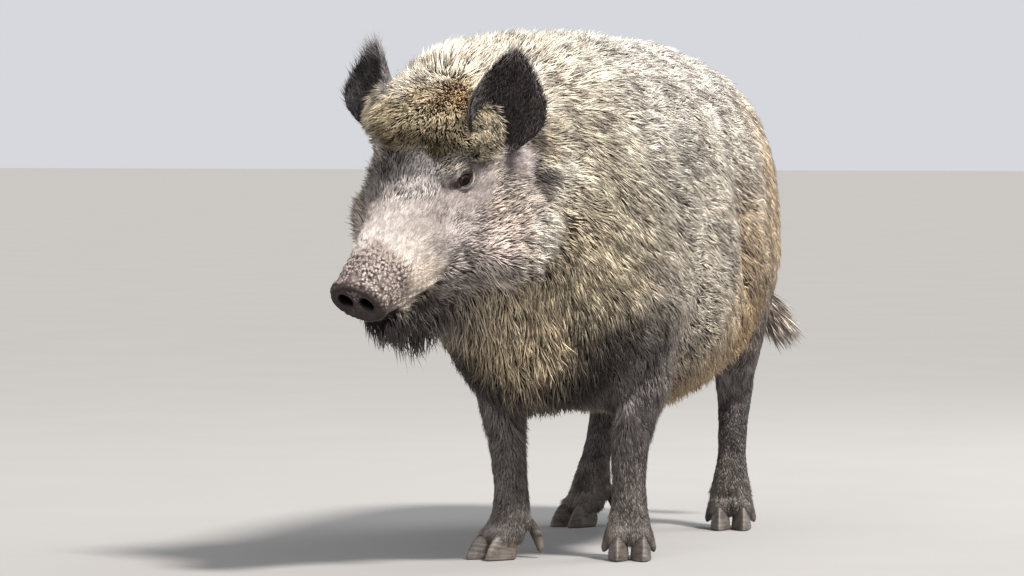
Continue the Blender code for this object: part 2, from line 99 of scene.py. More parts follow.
def turned(axis, degrees):
    """The matrix that turns by this angle about x, y or z."""
    a = math.radians(degrees)
    i, j = {"x": (1, 2), "y": (2, 0), "z": (0, 1)}[axis]
    made = np.eye(3)
    made[i, i] = made[j, j] = math.cos(a)
    made[i, j], made[j, i] = -math.sin(a), math.sin(a)
    return made


def unit(vectors):
    """Each vector brought to length 1."""
    vectors = np.asarray(vectors, float)
    return vectors / np.maximum(np.linalg.norm(vectors, axis=-1, keepdims=True), 1e-12)


def centre_of(node):
    """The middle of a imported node's box."""
    low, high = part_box(node)
    return (np.array(low) + np.array(high)) / 2


HEAD = (turned("z", -HEAD_TURN) @ turned("x", HEAD_DROP) @ turned("y", HEAD_ROLL))[:, (1, 0, 2)].T
NOSE = (centre_of("left_eye") + centre_of("right_eye")) / 2 - (EYE_PLACE * (1, 0, 1)) @ HEAD
SHIFT = NOSE - SNOUT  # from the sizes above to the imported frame


def from_head(local):
    """Head coordinates (behind the disc, to the left, up) to the frame's own."""
    return NOSE + np.asarray(local, float) @ HEAD


def to_head(points):
    """The frame's own coordinates to head coordinates."""
    return (points - NOSE) @ HEAD.T


def on_side(local, side):
    """A place or direction in the head's left half, or mirrored to the right where side is -1."""
    return np.asarray(local, float) * (1, side, 1)


def ramp(value, start, end):
    """Rises smoothly from 0 at start to 1 at end."""
    t = np.clip((value - start) / (end - start), 0, 1)
    return t * t * (3 - 2 * t)


def hump(value, centre, width):
    """A bell curve of height 1."""
    return np.exp(-(((value - centre) / width) ** 2))


def circle(count):
    """Evenly spaced angles round a ring."""
    return np.arange(count) / count * 2 * math.pi


def tinted(colours, colour, share):
    """Colours drawn towards one colour, each by its own share."""
    return colours * (1 - share)[:, None] + np.array(colour) * share[:, None]


# ---------------------------------------------------------------- repeatable noise


def cell_dice(cells, seed):
    """Three numbers from 0 to 1 for each whole-number cell, always the same."""
    c = cells.astype(np.int64)
    mixed = (c[..., 0] * 73856093) ^ (c[..., 1] * 19349663) ^ (c[..., 2] * 83492791) ^ (seed * 2654435761)
    out = []
    for k in range(3):
        m = (mixed + k * 977231) & 0xFFFFFFFF
        m = ((m ^ (m >> 16)) * 73244475) & 0xFFFFFFFF
        m = ((m ^ (m >> 16)) * 73244475) & 0xFFFFFFFF
        out.append(((m ^ (m >> 16)) & 0xFFFFFF) / 0xFFFFFF)
    return np.stack(out, -1)


def clumps(points, size, seed):
    """The nearest of the points strewn one to a cell of this size: its place, its distance and its dice."""
    base = np.floor(points / size)
    near = np.full(len(points), np.inf)
    middle = np.zeros_like(points)
    dice = np.zeros_like(points)
    steps = np.stack(np.meshgrid(*[(-1, 0, 1)] * 3, indexing="ij"), -1).reshape(-1, 3)
    for step in steps:
        cell = base + step
        thrown = cell_dice(cell, seed)
        there = (cell + 0.15 + 0.7 * thrown) * size
        away = np.linalg.norm(points - there, axis=1)
        closer = away < near
        near = np.where(closer, away, near)
        middle[closer] = there[closer]
        dice[closer] = cell_dice(cell, seed + 31)[closer]
    return middle, near / size, dice


def waves(points, size, seed, count=7):
    """A smooth field from -1 to 1: sines of about this wavelength in random directions, added up."""
    rng = np.random.default_rng(seed)
    ways = unit(rng.normal(size=(count, 3))) * (2 * math.pi / size) * rng.uniform(0.6, 1.6, (count, 1))
    return np.sin(points @ ways.T + rng.uniform(0, 6.28, count)).sum(1) / math.sqrt(count)


# ---------------------------------------------------------------- the coat's patches

# place and reach in the patch's frame; lie is where the hair points; length, width and depth in mm; lift in degrees;
# root and tip are linear colours; cover is the share of full density; only is the one side it grows on, or 0.
Patch = namedtuple("Patch", "place reach lie length width lift depth root tip cover only", defaults=(1, 0))

HUSK = (0.040, 0.034, 0.034)
BLACK, UMBER, SMOKE = (0.012, 0.010, 0.010), (0.045, 0.033, 0.025), (0.085, 0.072, 0.070)
MILK, CREAM, STRAW, SAND = (0.84, 0.78, 0.69), (0.80, 0.72, 0.60), (0.72, 0.62, 0.45), (0.56, 0.45, 0.32)
FAWN = (0.92, 0.71, 0.50)
WHEAT, TAN, GOLD, BRAN = (0.74, 0.60, 0.40), (0.62, 0.43, 0.23), (0.50, 0.32, 0.15), (0.74, 0.61, 0.43)
FROST, ROSE, ASH = (0.52, 0.475, 0.455), (0.70, 0.58, 0.51), (0.58, 0.51, 0.45)
OLIVE, TAUPE, SOOT = (0.18, 0.14, 0.070), (0.14, 0.112, 0.100), (0.15, 0.132, 0.128)

BODY_PATCHES = (  # in the frame before centring
    # the back and flanks
    Patch((0.00, 0.60, 0.80), 0.16, (0, 1, -0.25), 38, 0.9, 17, 9, UMBER, MILK),
    Patch((0.00, 0.35, 0.83), 0.16, (0, 1, -0.05), 40, 0.9, 17, 9, UMBER, MILK),
    Patch((0.00, 0.10, 0.84), 0.16, (0, 1, -0.05), 42, 0.9, 18, 10, UMBER, (0.71, 0.65, 0.56)),
    Patch((0.00, -0.12, 0.83), 0.13, (0, 1, 0), 42, 0.9, 22, 13, UMBER, (0.70, 0.62, 0.50), 1.5),
    Patch((0.15, 0.40, 0.72), 0.15, (0, 1, -0.45), 38, 0.9, 14, 8, (0.13, 0.105, 0.09), MILK),
    Patch((0.15, 0.10, 0.72), 0.15, (0, 1, -0.35), 38, 0.9, 15, 8, UMBER, MILK),
    Patch((0.22, 0.35, 0.56), 0.14, (0, 1, -0.55), 36, 0.9, 13, 7, (0.13, 0.10, 0.08), CREAM),
    Patch((0.21, 0.10, 0.56), 0.14, (0, 1, -0.40), 36, 0.9, 13, 7, UMBER, CREAM),
    Patch((0.20, 0.35, 0.40), 0.12, (0, 0.9, -0.75), 36, 0.9, 13, 7, UMBER, FAWN),
    Patch((0.20, 0.16, 0.42), 0.12, (0, 1, -0.50), 36, 0.9, 13, 7, UMBER, CREAM),
    Patch((0.08, 0.30, 0.22), 0.15, (0, 0.7, -0.7), 50, 0.9, 22, 9, UMBER, GOLD),
    Patch((0.13, 0.20, 0.26), 0.07, (0, 0.5, -1), 58, 0.9, 26, 9, UMBER, TAN, 1.3),
    Patch((0.06, 0.12, 0.23), 0.12, (0, 1, -0.20), 40, 0.9, 18, 9, BLACK, TAUPE),
    Patch((0.205, 0.21, 0.48), 0.07, (0, 1, -0.50), 36, 0.9, 13, 7, (0.16, 0.13, 0.11), MILK),
    Patch((0.205, 0.42, 0.50), 0.07, (0, 0.9, -0.65), 36, 0.9, 13, 7, UMBER, (0.84, 0.60, 0.37)),
    Patch((0.16, 0.30, 0.30), 0.08, (0, 0.7, -0.9), 44, 0.9, 17, 9, UMBER, TAN),
    Patch((0.15, 0.50, 0.36), 0.09, (0, 0.7, -0.9), 44, 0.9, 17, 9, UMBER, TAN),
    Patch((0.19, 0.66, 0.58), 0.13, (0, 0.75, -0.7), 36, 0.9, 13, 7, (0.13, 0.095, 0.07), FAWN),
    Patch((0.12, 0.80, 0.66), 0.12, (0, 0.45, -1), 36, 0.9, 14, 8, UMBER, FAWN),
    Patch((0.00, 0.87, 0.50), 0.10, (0, 0.2, -1), 34, 0.9, 16, 8, UMBER, SAND),
    Patch((0.09, 0.82, 0.40), 0.09, (0, 0.3, -1), 30, 0.9, 15, 7, BLACK, SAND),
    # shoulders and chest
    Patch((0.18, -0.02, 0.62), 0.12, (0, 0.9, -0.50), 37, 0.9, 15, 9, UMBER, MILK),
    Patch((0.19, 0.01, 0.47), 0.08, (0, 0.95, -0.45), 34, 0.9, 14, 8, UMBER, (0.72, 0.63, 0.53)),
    Patch((0.17, 0.00, 0.36), 0.06, (0, 0.55, -0.85), 28, 0.9, 15, 7, BLACK, (0.11, 0.092, 0.085)),
    Patch((0.13, -0.07, 0.35), 0.05, (0, 0.5, -0.9), 34, 0.9, 18, 9, BLACK, TAUPE),
    Patch((0.08, -0.075, 0.285), 0.055, (0, 0.4, -1), 42, 0.9, 19, 12, BLACK, (0.045, 0.038, 0.035)),
    Patch((0.00, -0.150, 0.285), 0.05, (0, 0.4, -1), 44, 0.9, 20, 13, BLACK, (0.24, 0.19, 0.14), 1.2),
    Patch((0.15, -0.10, 0.58), 0.10, (0, 0.8, -0.65), 35, 0.9, 20, 13, (0.09, 0.07, 0.05), (0.88, 0.77, 0.58), 1.2),
    Patch((0.115, -0.01, 0.275), 0.045, (0, 0.3, -1), 24, 0.95, 13, 7, HUSK, (0.38, 0.34, 0.34)),
    Patch((0.12, -0.13, 0.46), 0.07, (0.1, 0.6, -1), 37, 0.85, 24, 14, (0.09, 0.07, 0.05), (0.86, 0.74, 0.54), 1.3),
    Patch((0.088, -0.120, 0.330), 0.048, (0.1, 0.4, -1), 38, 0.9, 20, 11, BLACK, (0.065, 0.054, 0.050)),
    Patch((0.085, -0.150, 0.415), 0.042, (0.1, 0.5, -1), 37, 0.85, 24, 14, UMBER, STRAW, 1.3),
    Patch((0.025, -0.165, 0.350), 0.045, (0.1, 0.3, -1), 38, 0.85, 24, 14, UMBER, WHEAT, 1.3),
    Patch((-0.02, -0.21, 0.40), 0.06, (0, 0.3, -1), 44, 0.9, 24, 14, (0.10, 0.08, 0.06), BRAN, 1.3),
    Patch((0.14, -0.14, 0.72), 0.10, (0.1, 0.85, -0.5), 40, 0.9, 19, 12, UMBER, (0.75, 0.67, 0.54), 1.5),
    Patch((0.030, -0.185, 0.768), 0.060, (0.25, 0.9, 0.25), 42, 1.0, 34, 11, UMBER, CREAM, 4.0),
)

HEAD_PATCHES = (  # behind the disc, to the side, up
    # face
    Patch((0.00, 0.00, 0.00), 0.026, (1, 0, 0), 3, 0.5, 15, 0, (0.030, 0.021, 0.018), SMOKE, 0),
    Patch((0.045, 0.00, 0.048), 0.026, (1, 0, 0.1), 5, 0.5, 22, 0.5, (0.13, 0.100, 0.090), ASH, 0.10),
    Patch((0.045, 0.045, 0.005), 0.024, (1, 0, 0), 5, 0.5, 20, 0.5, (0.17, 0.130, 0.118), ASH, 0.10),
    Patch((0.085, 0.054, -0.030), 0.024, (1, 0, -0.1), 5, 0.5, 20, 0.5,
          (0.60, 0.505, 0.43), (0.78, 0.69, 0.58), 0.45),
    Patch((0.100, 0.000, 0.056), 0.030, (1, 0, 0), 9, 0.6, 20, 2, (0.30, 0.26, 0.24), FROST),
    Patch((0.112, 0.054, 0.018), 0.022, (1, 0, 0), 7, 0.5, 18, 1, (0.40, 0.34, 0.315), (0.60, 0.545, 0.50), 0.8),
    Patch((0.150, 0.000, 0.066), 0.030, (1, 0.1, 0.1), 14, 0.7, 24, 4, SOOT, FROST),
    Patch((0.195, 0.000, 0.076), 0.030, (1, 0.1, 0.3), 18, 0.75, 30, 6, SOOT, FROST),
    Patch((0.140, 0.056, 0.025), 0.028, (1, 0.1, 0.0), 12, 0.65, 20, 3, (0.14, 0.115, 0.105), (0.37, 0.33, 0.31)),
    Patch((0.180, 0.086, -0.008), 0.030, (1, 0.2, -0.1), 14, 0.7, 22, 4, (0.13, 0.105, 0.10), (0.60, 0.54, 0.52)),
    Patch((0.190, 0.112, -0.040), 0.026, (1, 0.1, -0.35), 19, 0.75, 22, 6, (0.22, 0.175, 0.16), (0.92, 0.79, 0.72)),
    Patch((0.196, 0.070, 0.030), 0.024, (1, 0.2, 0), 13, 0.65, 19, 4, SMOKE, (0.30, 0.265, 0.255)),
    Patch((0.232, 0.084, 0.038), 0.024, (1, 0.2, 0.1), 6, 0.5, 16, 2, (0.15, 0.128, 0.125), (0.29, 0.26, 0.255), 0.7),
    Patch((0.225, 0.068, 0.078), 0.018, (0.4, 1, 0.3), 15, 0.8, 26, 6, BLACK, ASH),
    Patch((0.235, 0.108, -0.020), 0.034, (1, 0.1, -0.45), 18, 0.75, 24, 6, (0.055, 0.040, 0.038), ROSE),
    Patch((0.265, 0.118, 0.012), 0.024, (1, 0.1, -0.3), 18, 0.75, 20, 7, BLACK, ASH),
    Patch((0.270, 0.135, -0.040), 0.026, (1, 0.1, -0.5), 20, 0.8, 22, 8, UMBER, ASH),
    Patch((0.302, 0.125, 0.030), 0.020, (1, 0.2, -0.3), 7, 0.5, 14, 3, (0.30, 0.25, 0.25), (0.46, 0.41, 0.40), 0.8),
    Patch((0.276, 0.153, -0.080), 0.030, (0.5, 0.3, -1), 29, 0.85, 26, 11, (0.24, 0.21, 0.18), MILK, 1.5),
    Patch((0.322, 0.143, -0.016), 0.019, (0.6, 0.2, -1), 28, 0.85, 20, 11, BLACK, SMOKE, 1.3),
    Patch((0.355, 0.160, -0.045), 0.036, (0.7, 0.4, -0.9), 34, 0.9, 24, 13, UMBER, MILK, 1.4),
    Patch((0.320, 0.155, -0.120), 0.040, (0.4, 0.2, -1), 38, 0.9, 25, 14, UMBER, STRAW, 1.4),
    Patch((0.230, 0.124, -0.102), 0.032, (0.6, 0.3, -0.8), 28, 0.85, 26, 10,
          (0.11, 0.09, 0.08), (0.72, 0.65, 0.57), 1.2),
    Patch((0.180, 0.090, -0.080), 0.030, (0.5, 0.3, -0.8), 30, 0.85, 30, 8, SMOKE, (0.66, 0.58, 0.52), 1.2),
    Patch((0.135, 0.064, -0.078), 0.022, (0.6, 0.3, -0.8), 26, 0.8, 28, 4, SMOKE, (0.56, 0.49, 0.46), 1.2),
    Patch((0.085, 0.035, -0.085), 0.024, (0, 0.2, -1), 28, 0.8, 32, 6, BLACK, SMOKE, 1.2),
    Patch((0.045, 0.000, -0.085), 0.024, (-0.5, 0, -1), 32, 0.8, 36, 8, BLACK, SMOKE, 1.0),
    Patch((0.115, 0.000, -0.150), 0.042, (-0.45, 0, -1), 62, 0.9, 32, 14, BLACK, SMOKE, 1.2),
    Patch((0.180, 0.030, -0.165), 0.040, (-0.1, 0.1, -1), 68, 0.9, 30, 14, BLACK, (0.34, 0.30, 0.275), 1.4),
    Patch((0.250, 0.050, -0.185), 0.046, (0.2, 0.1, -0.9), 56, 0.9, 28, 15, UMBER, SAND, 1.3),
    # Painted light and shade: the patches that grow on the right side only darken the far cheek and brow as shade, and
    # the one that grows on the left side only paints the same brow paler, as lit.
    Patch((0.215, 0.110, -0.010), 0.062, (0.5, 1.0, -0.3), 38, 0.9, 50, 7, BLACK, (0.15, 0.122, 0.062), 2.6, -1),
    Patch((0.205, 0.052, 0.070), 0.026, (1, 0.1, 0.3), 18, 0.75, 28, 6, BLACK, (0.13, 0.115, 0.105), 1, -1),
    Patch((0.184, 0.022, 0.070), 0.020, (1, 0.1, 0.3), 16, 0.75, 26, 6, BLACK, (0.21, 0.19, 0.18), 1, -1),
    Patch((0.208, 0.030, 0.074), 0.020, (1, 0.1, 0.3), 17, 0.75, 26, 6,
          (0.22, 0.195, 0.185), (0.86, 0.80, 0.77), 1, 1),
    # forelock and crown
    Patch((0.220, 0.000, 0.090), 0.014, (0.9, 0.1, 0.6), 20, 0.75, 34, 8, SOOT, (0.70, 0.64, 0.60), 1.2),
    Patch((0.246, 0.000, 0.114), 0.018, (-1, 0, 0.1), 20, 0.8, 56, 11, BLACK, OLIVE, 2.0),
    Patch((0.250, 0.045, 0.112), 0.018, (-1, 0.4, 0.1), 20, 0.8, 56, 11, BLACK, OLIVE, 2.0),
    Patch((0.272, 0.086, 0.096), 0.018, (-0.6, 1, 0), 20, 0.8, 50, 10, BLACK, STRAW, 1.8),
    Patch((0.262, 0.000, 0.138), 0.020, (-1, 0, 0.35), 24, 0.8, 58, 14, UMBER, (0.82, 0.69, 0.47), 2.0),
    Patch((0.274, 0.045, 0.136), 0.022, (-0.8, 0.5, 0.3), 24, 0.8, 54, 14, UMBER, WHEAT, 2.0),
    Patch((0.290, 0.088, 0.112), 0.018, (-0.7, 0.8, -0.1), 18, 0.75, 40, 12, UMBER, STRAW, 1.8),
    Patch((0.296, 0.000, 0.156), 0.022, (-0.8, 0, 0.8), 27, 0.8, 46, 16,
          (0.24, 0.185, 0.12), (0.90, 0.73, 0.48), 2.2),
    Patch((0.312, 0.050, 0.150), 0.026, (-0.5, 0.5, 0.7), 28, 0.8, 48, 16,
          (0.11, 0.075, 0.045), (0.74, 0.51, 0.26), 2.2, 1),
    Patch((0.315, 0.045, 0.152), 0.026, (-0.5, 0.5, 0.7), 28, 0.8, 48, 16, (0.16, 0.13, 0.10), CREAM, 2.2, -1),
    Patch((0.332, 0.000, 0.172), 0.032, (-0.20, 0.0, 0.9), 28, 0.8, 42, 15, (0.14, 0.115, 0.095), CREAM, 2.4),
    Patch((0.352, 0.070, 0.160), 0.034, (0.5, 0.5, 0.5), 28, 0.8, 34, 14, (0.12, 0.10, 0.08), CREAM, 2.4),
    Patch((0.400, 0.050, 0.170), 0.040, (0.9, 0.2, 0.3), 34, 0.85, 23, 12, UMBER, CREAM, 2.4),
    Patch((0.410, 0.120, 0.110), 0.044, (1, 0.4, -0.1), 36, 0.85, 23, 13, UMBER, CREAM, 1.8),
    Patch((0.385, 0.160, 0.030), 0.036, (0.9, 0.4, -0.6), 36, 0.9, 22, 13, UMBER, STRAW, 1.5),
    Patch((0.345, 0.142, 0.045), 0.016, (1, 0.3, -0.6), 26, 0.85, 20, 11, BLACK, TAUPE, 1.4),
)


def leg_grey(leg, red, green, blue):
    """A leg's hair colour: the hind legs are darker than the fore legs."""
    share = 0.70 if leg.endswith("hind") else 1.0
    return red * share, green * share, blue * share


LEG_PATCHES = tuple(
    (leg + node, patch)
    for leg in FEET
    for node, patch in (
        ("_leg_upper", Patch((0, 0, 0.04), 0.07, (0, 0.25, -1), 26, 0.95, 13, 8, HUSK,
                             leg_grey(leg, 0.50, 0.45, 0.455))),
        ("_leg_upper", Patch((0, 0, -0.08), 0.06, (0, 0.15, -1), 18, 0.85, 11, 4, HUSK,
                             leg_grey(leg, 0.52, 0.465, 0.46))),
        ("_leg_lower", Patch((0, 0, 0.06), 0.05, (0, 0.12, -1), 12, 0.75, 10, 2.5, HUSK,
                             leg_grey(leg, 0.30, 0.26, 0.255))),
        ("_leg_lower", Patch((0, 0, 0.00), 0.05, (0, 0.05, -1), 11, 0.65, 15, 2, HUSK,
                             leg_grey(leg, 0.30, 0.265, 0.25))),
        ("_leg_lower", Patch((0, -0.01, -0.06), 0.035, (0, -0.35, -1), 14, 0.7, 34, 0.5, SMOKE,
                             (0.34, 0.30, 0.28), 2.6)),
    )
)


def sides_of(patch, across):
    """The sides a patch grows on: the one it names, or both unless it lies on the middle line."""
    return (patch.only,) if patch.only else (1, -1) if patch.place[across] else (1,)


def patch_rows():
    """All patches on both sides: place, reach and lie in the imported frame, and their numbers."""
    placed = []
    for patch in BODY_PATCHES:
        for side in sides_of(patch, 0):
            flip = np.array((side, 1, 1))
            placed.append((patch, patch.place * flip + SHIFT, patch.lie * flip))
    for patch in HEAD_PATCHES:
        for side in sides_of(patch, 1):
            placed.append((patch, from_head(on_side(patch.place, side)), on_side(patch.lie, side) @ HEAD))
    for node, patch in LEG_PATCHES:
        placed.append((patch, centre_of(node) + patch.place, patch.lie))
    numbers = [[p.length / 1000, p.width / 1000, math.radians(p.lift), p.depth / 1000, p.cover, *p.root, *p.tip]
               for p, _, _ in placed]
    reaches = [patch.reach for patch, _, _ in placed]
    places, lies = (np.array([row[k] for row in placed], float) for k in (1, 2))
    return places, np.array(reaches), unit(lies), np.array(numbers)


ROWS = patch_rows()
FIELD = ("length", "width", "lift", "depth", "cover")


def coat_at(points):
    """The coat's numbers at the points: patches mixed by a softmax of minus the squared distance over squared reach.

    The points are first pushed about by slow waves, so that no border between two patches is a clean line.
    """
    places, reaches, lies, numbers = ROWS
    points = points + 0.0055 * np.stack([waves(points, 0.042, 81 + k) for k in range(3)], 1)
    away = ((points**2).sum(1)[:, None] - 2 * points @ places.T + (places**2).sum(1)) / reaches**2
    share = np.exp(-1.3 * (away - away.min(1, keepdims=True)))
    share /= share.sum(1, keepdims=True)
    mixed = share @ numbers
    field = {name: mixed[:, k] for k, name in enumerate(FIELD)}
    field["root"], field["tip"] = mixed[:, 5:8], mixed[:, 8:11]
    field["lie"] = share @ lies
    return field


# ---------------------------------------------------------------- mesh helpers


def mesh_of(name, points, corners, sizes):
    """A mesh from flat arrays: points, the corners of all faces in turn, and each face's number of corners."""
    mesh = bpy.data.meshes.new(name)
    mesh.vertices.add(len(points))
    mesh.vertices.foreach_set("co", np.ascontiguousarray(points, np.float32).ravel())
    mesh.loops.add(len(corners))
    mesh.loops.foreach_set("vertex_index", np.ascontiguousarray(corners, np.int32))
    mesh.polygons.add(len(sizes))
    starts = np.concatenate([[0], np.cumsum(sizes)[:-1]]).astype(np.int32)
    mesh.polygons.foreach_set("loop_start", starts)
    mesh.update(calc_edges=True)
    mesh.polygons.foreach_set("use_smooth", np.ones(len(sizes), bool))
    return mesh


def grid_mesh(name, grid, capped=True):
    """A skin over rings of points, closed round each ring; a cap closes each end."""
    rings, count = grid.shape[:2]
    i, j = np.meshgrid(np.arange(rings - 1), np.arange(count), indexing="ij")
    k = (j + 1) % count
    quads = np.stack([i * count + j, i * count + k, (i + 1) * count + k, (i + 1) * count + j], -1).reshape(-1)
    corners = [quads]
    sizes = [np.full((rings - 1) * count, 4)]
    if capped:
        corners += [np.arange(count)[::-1], (rings - 1) * count + np.arange(count)]
        sizes += [[count], [count]]
    mesh = mesh_of(name, grid.reshape(-1, 3), np.concatenate(corners), np.concatenate(sizes))
    outward(mesh)
    return mesh


def outward(mesh):
    """Merges doubles and turns every face outwards."""
    shape = bmesh.new()
    shape.from_mesh(mesh)
    bmesh.ops.remove_doubles(shape, verts=shape.verts, dist=1e-6)
    bmesh.ops.recalc_face_normals(shape, faces=shape.faces)
    shape.to_mesh(mesh)
    shape.free()


def object_of(name, data):
    made = bpy.data.objects.new(name, data)
    bpy.context.scene.collection.objects.link(made)
    return made


def applied(thing):
    """Replaces the object's mesh by what its modifiers make of it."""
    graph = bpy.context.evaluated_depsgraph_get()
    made = bpy.data.meshes.new_from_object(thing.evaluated_get(graph))
    thing.modifiers.clear()
    thing.data = made
    return thing


def vectors_of(rows, key):
    out = np.empty(len(rows) * 3, np.float32)
    rows.foreach_get(key, out)
    return out.reshape(-1, 3).astype(float)


def points_of(mesh):
    return vectors_of(mesh.vertices, "co")


def normals_of(mesh):
    return vectors_of(mesh.vertex_normals, "vector")


def put_points(mesh, points):
    mesh.vertices.foreach_set("co", np.ascontiguousarray(points, np.float32).ravel())
    mesh.update()


def put_colour(mesh, name, colours):
    """A linear colour for each vertex."""
    layer = mesh.color_attributes.new(name, "FLOAT_COLOR", "POINT")
    full = np.ones((len(colours), 4), np.float32)
    full[:, :3] = colours
    layer.data.foreach_set("color", full.ravel())


def put_number(mesh, name, values):
    layer = mesh.attributes.new(name, "FLOAT", "POINT")
    layer.data.foreach_set("value", np.ascontiguousarray(values, np.float32))


# ---------------------------------------------------------------- skin


def smoothing(thing, iterations):
    """A modifier that moves each point halfway to its neighbours' mean, this many times."""
    soften = thing.modifiers.new("soften", "SMOOTH")
    soften.factor = 0.5
    soften.iterations = iterations
    return soften


def remeshed(thing, iterations):
    """Fuses overlapping shells on the skin's grid and softens the result."""
    grid = thing.modifiers.new("grid", "REMESH")
    grid.mode = "VOXEL"
    grid.voxel_size = FINE
    smoothing(thing, iterations)
    return applied(thing)


def add_ball(shape, place, radius, subdivisions):
    """A ball of flesh for the skin to fuse with."""
    ball = bmesh.ops.create_icosphere(shape, subdivisions=subdivisions, radius=radius)["verts"]
    bmesh.ops.translate(shape, verts=ball, vec=place.tolist())


def largest_island(thing):
    """Keeps the body and drops any crumb that the fusing left inside it."""
    bpy.ops.object.select_all(action="DESELECT")
    thing.select_set(True)
    bpy.context.view_layer.objects.active = thing
    bpy.ops.mesh.separate(type="LOOSE")
    parts = sorted(bpy.context.selected_objects, key=lambda o: len(o.data.vertices))
    for crumb in parts[:-1]:
        bpy.data.objects.remove(crumb)
    return parts[-1]


def flank_folds(before):
    """How far the flank is drawn in: hollows ahead of the thigh, over the ribs and behind the elbow."""
    x, y, z = before.T
    thigh = 0.026 * hump(y - 0.40 + 0.25 * (z - 0.45), 0, 0.055) * hump(z, 0.47, 0.17)
    ribs = 0.010 * hump(y - 0.14 - 0.30 * (z - 0.45), 0, 0.060) * hump(z, 0.46, 0.14)
    elbow = 0.010 * hump(y, 0.10, 0.050) * hump(z, 0.34, 0.06)
    return (thigh + ribs + elbow) * ramp(np.abs(x), 0.07, 0.13)


def fused_flesh():
    """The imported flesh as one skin, drawn in by the coat's depth."""
    shape = bmesh.new()
    for node in FLESH:
        if not node.endswith("_ear") and node != "tail":
            shape.from_mesh(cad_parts[node].data)
    bmesh.ops.remove_doubles(shape, verts=shape.verts, dist=1e-5)
    for foot in FEET:
        origin, axes = foot_frame(foot)
        for inner in (1, -1):
            for place, radius in PADS:
                add_ball(shape, origin + (np.array(place) * (inner, 1, 1)) @ axes, radius, 2)
    for side in (1, -1):
        add_ball(shape, from_head(on_side(EYE_PLACE + (0.002, -0.004, -0.002), side)), SOCKET_RADIUS, 3)
    mesh = bpy.data.meshes.new("skin")
    shape.to_mesh(mesh)
    shape.free()
    thing = object_of("skin", mesh)
    swell = thing.modifiers.new("swell", "DISPLACE")
    swell.strength = 0.0009
    swell.mid_level = 0
    remeshed(thing, 8)
    points, normals = points_of(thing.data), normals_of(thing.data)
    put_points(thing.data, points - normals * (coat_at(points)["depth"] + flank_folds(points - SHIFT))[:, None])
    remeshed(thing, 10)
    return thinned(largest_island(thing))


def thinned(thing):
    """Thins the triangles of the trunk, which lies under long hair, and leaves the face and feet fine."""
    points = points_of(thing.data)
    field = coat_at(points)
    weight = ramp(field["length"], 0.040, 0.016)
    group = thing.vertex_groups.new(name="fine")
    levels = np.round(weight * 8).astype(int)
    for level in range(9):
        group.add(np.flatnonzero(levels == level).tolist(), level / 8, "REPLACE")
    thin = thing.modifiers.new("thin", "DECIMATE")
    thin.ratio = min(1.0, SKIN_FACES / (2 * len(thing.data.polygons)))
    thin.vertex_group = "fine"
    thin.invert_vertex_group = True
    thin.vertex_group_factor = 4
    return applied(thing)


def refined(mesh, chosen):
    """Halves every edge whose two ends are chosen."""
    ends = np.empty(len(mesh.edges) * 2, np.int32)
    mesh.edges.foreach_get("vertices", ends)
    edges = np.flatnonzero(chosen[ends].reshape(-1, 2).all(1))
    shape = bmesh.new()
    shape.from_mesh(mesh)
    shape.edges.ensure_lookup_table()
    bmesh.ops.subdivide_edges(shape, edges=[shape.edges[i] for i in edges.tolist()], cuts=1, use_grid_fill=True)
    bmesh.ops.triangulate(shape, faces=[f for f in shape.faces if len(f.verts) > 4])
    shape.to_mesh(mesh)
    shape.free()


def softened(thing, chosen, iterations):
    """Smooths the chosen points."""
    group = thing.vertex_groups.new(name="soft")
    group.add(np.flatnonzero(chosen).tolist(), 1.0, "REPLACE")
    smoothing(thing, iterations).vertex_group = "soft"
    applied(thing)
    thing.vertex_groups.clear()


def eye_axes(side):
    """Rows in the head's frame: towards the front corner, up, and out of the socket."""
    out = unit(on_side(GAZE, side))
    front = np.array((-1.0, -0.25 * side, -0.18))
    front = unit(front - front.dot(out) * out)
    up = np.cross(out, front) * side
    return np.stack([front, up * np.sign(up[2]), out])


def at_eye(local, side):
    """Places in the head's frame, measured from the eye's centre along its own axes."""
    return (local - on_side(EYE_PLACE, side)) @ eye_axes(side).T


def eye_share(u, v):
    """1 on the lids' margin, less inside the opening: an almond drawn out towards the front corner."""
    (ahead, behind), (above, below) = EYE_OPENING
    width, height = np.where(u > 0, ahead, behind), np.where(v > 0, above, below)
    return np.sqrt((u / width) ** 2 + (np.abs(v) / height * (1 + 0.25 * ramp(np.abs(u), 0.004, 0.014))) ** 2)


def sculpt_eye(local, side):
    """Moves the skin along the socket's axis: lids over the eyeball, folds above and below, and a dip round them."""
    offset = at_eye(local, side)
    u, v, w = offset.T
    rho = np.hypot(u, v)
    near = (rho < 0.040) & (w > -0.010)
    lid = EYE_RADIUS + LID_THICKNESS
    dome = np.sqrt(np.maximum(lid**2 - rho**2, (0.55 * lid) ** 2)) - 1.1 * np.maximum(rho - 0.83 * lid, 0)
    bed = w - 0.0030 * hump(rho, 0.0185, 0.0060) + 0.0040 * hump(v, 0.022, 0.008) * hump(u, -0.002, 0.020)
    soft = 0.0022
    raised = (bed + dome) / 2 + np.sqrt(((bed - dome) / 2) ** 2 + soft**2)
    share = eye_share(u, v)
    folds = 0.0011 * hump(share, 1.75, 0.13) + 0.0010 * hump(share, 2.35, 0.16) * (v < 0.004)
    folds += 0.0014 * hump(share, 1.50, 0.10) * (v > 0)
    raised -= folds * ramp(-v, -0.012, 0.0)
    opened = ramp(share, 1.02, 0.90)
    target = raised * (1 - opened) + (EYE_RADIUS - 0.0045) * opened
    blend = ramp(rho, 0.036, 0.022) * near
    offset[:, 2] = w * (1 - blend) + target * blend
    moved = on_side(EYE_PLACE, side) + offset @ eye_axes(side)
    return np.where(near[:, None], moved, local)


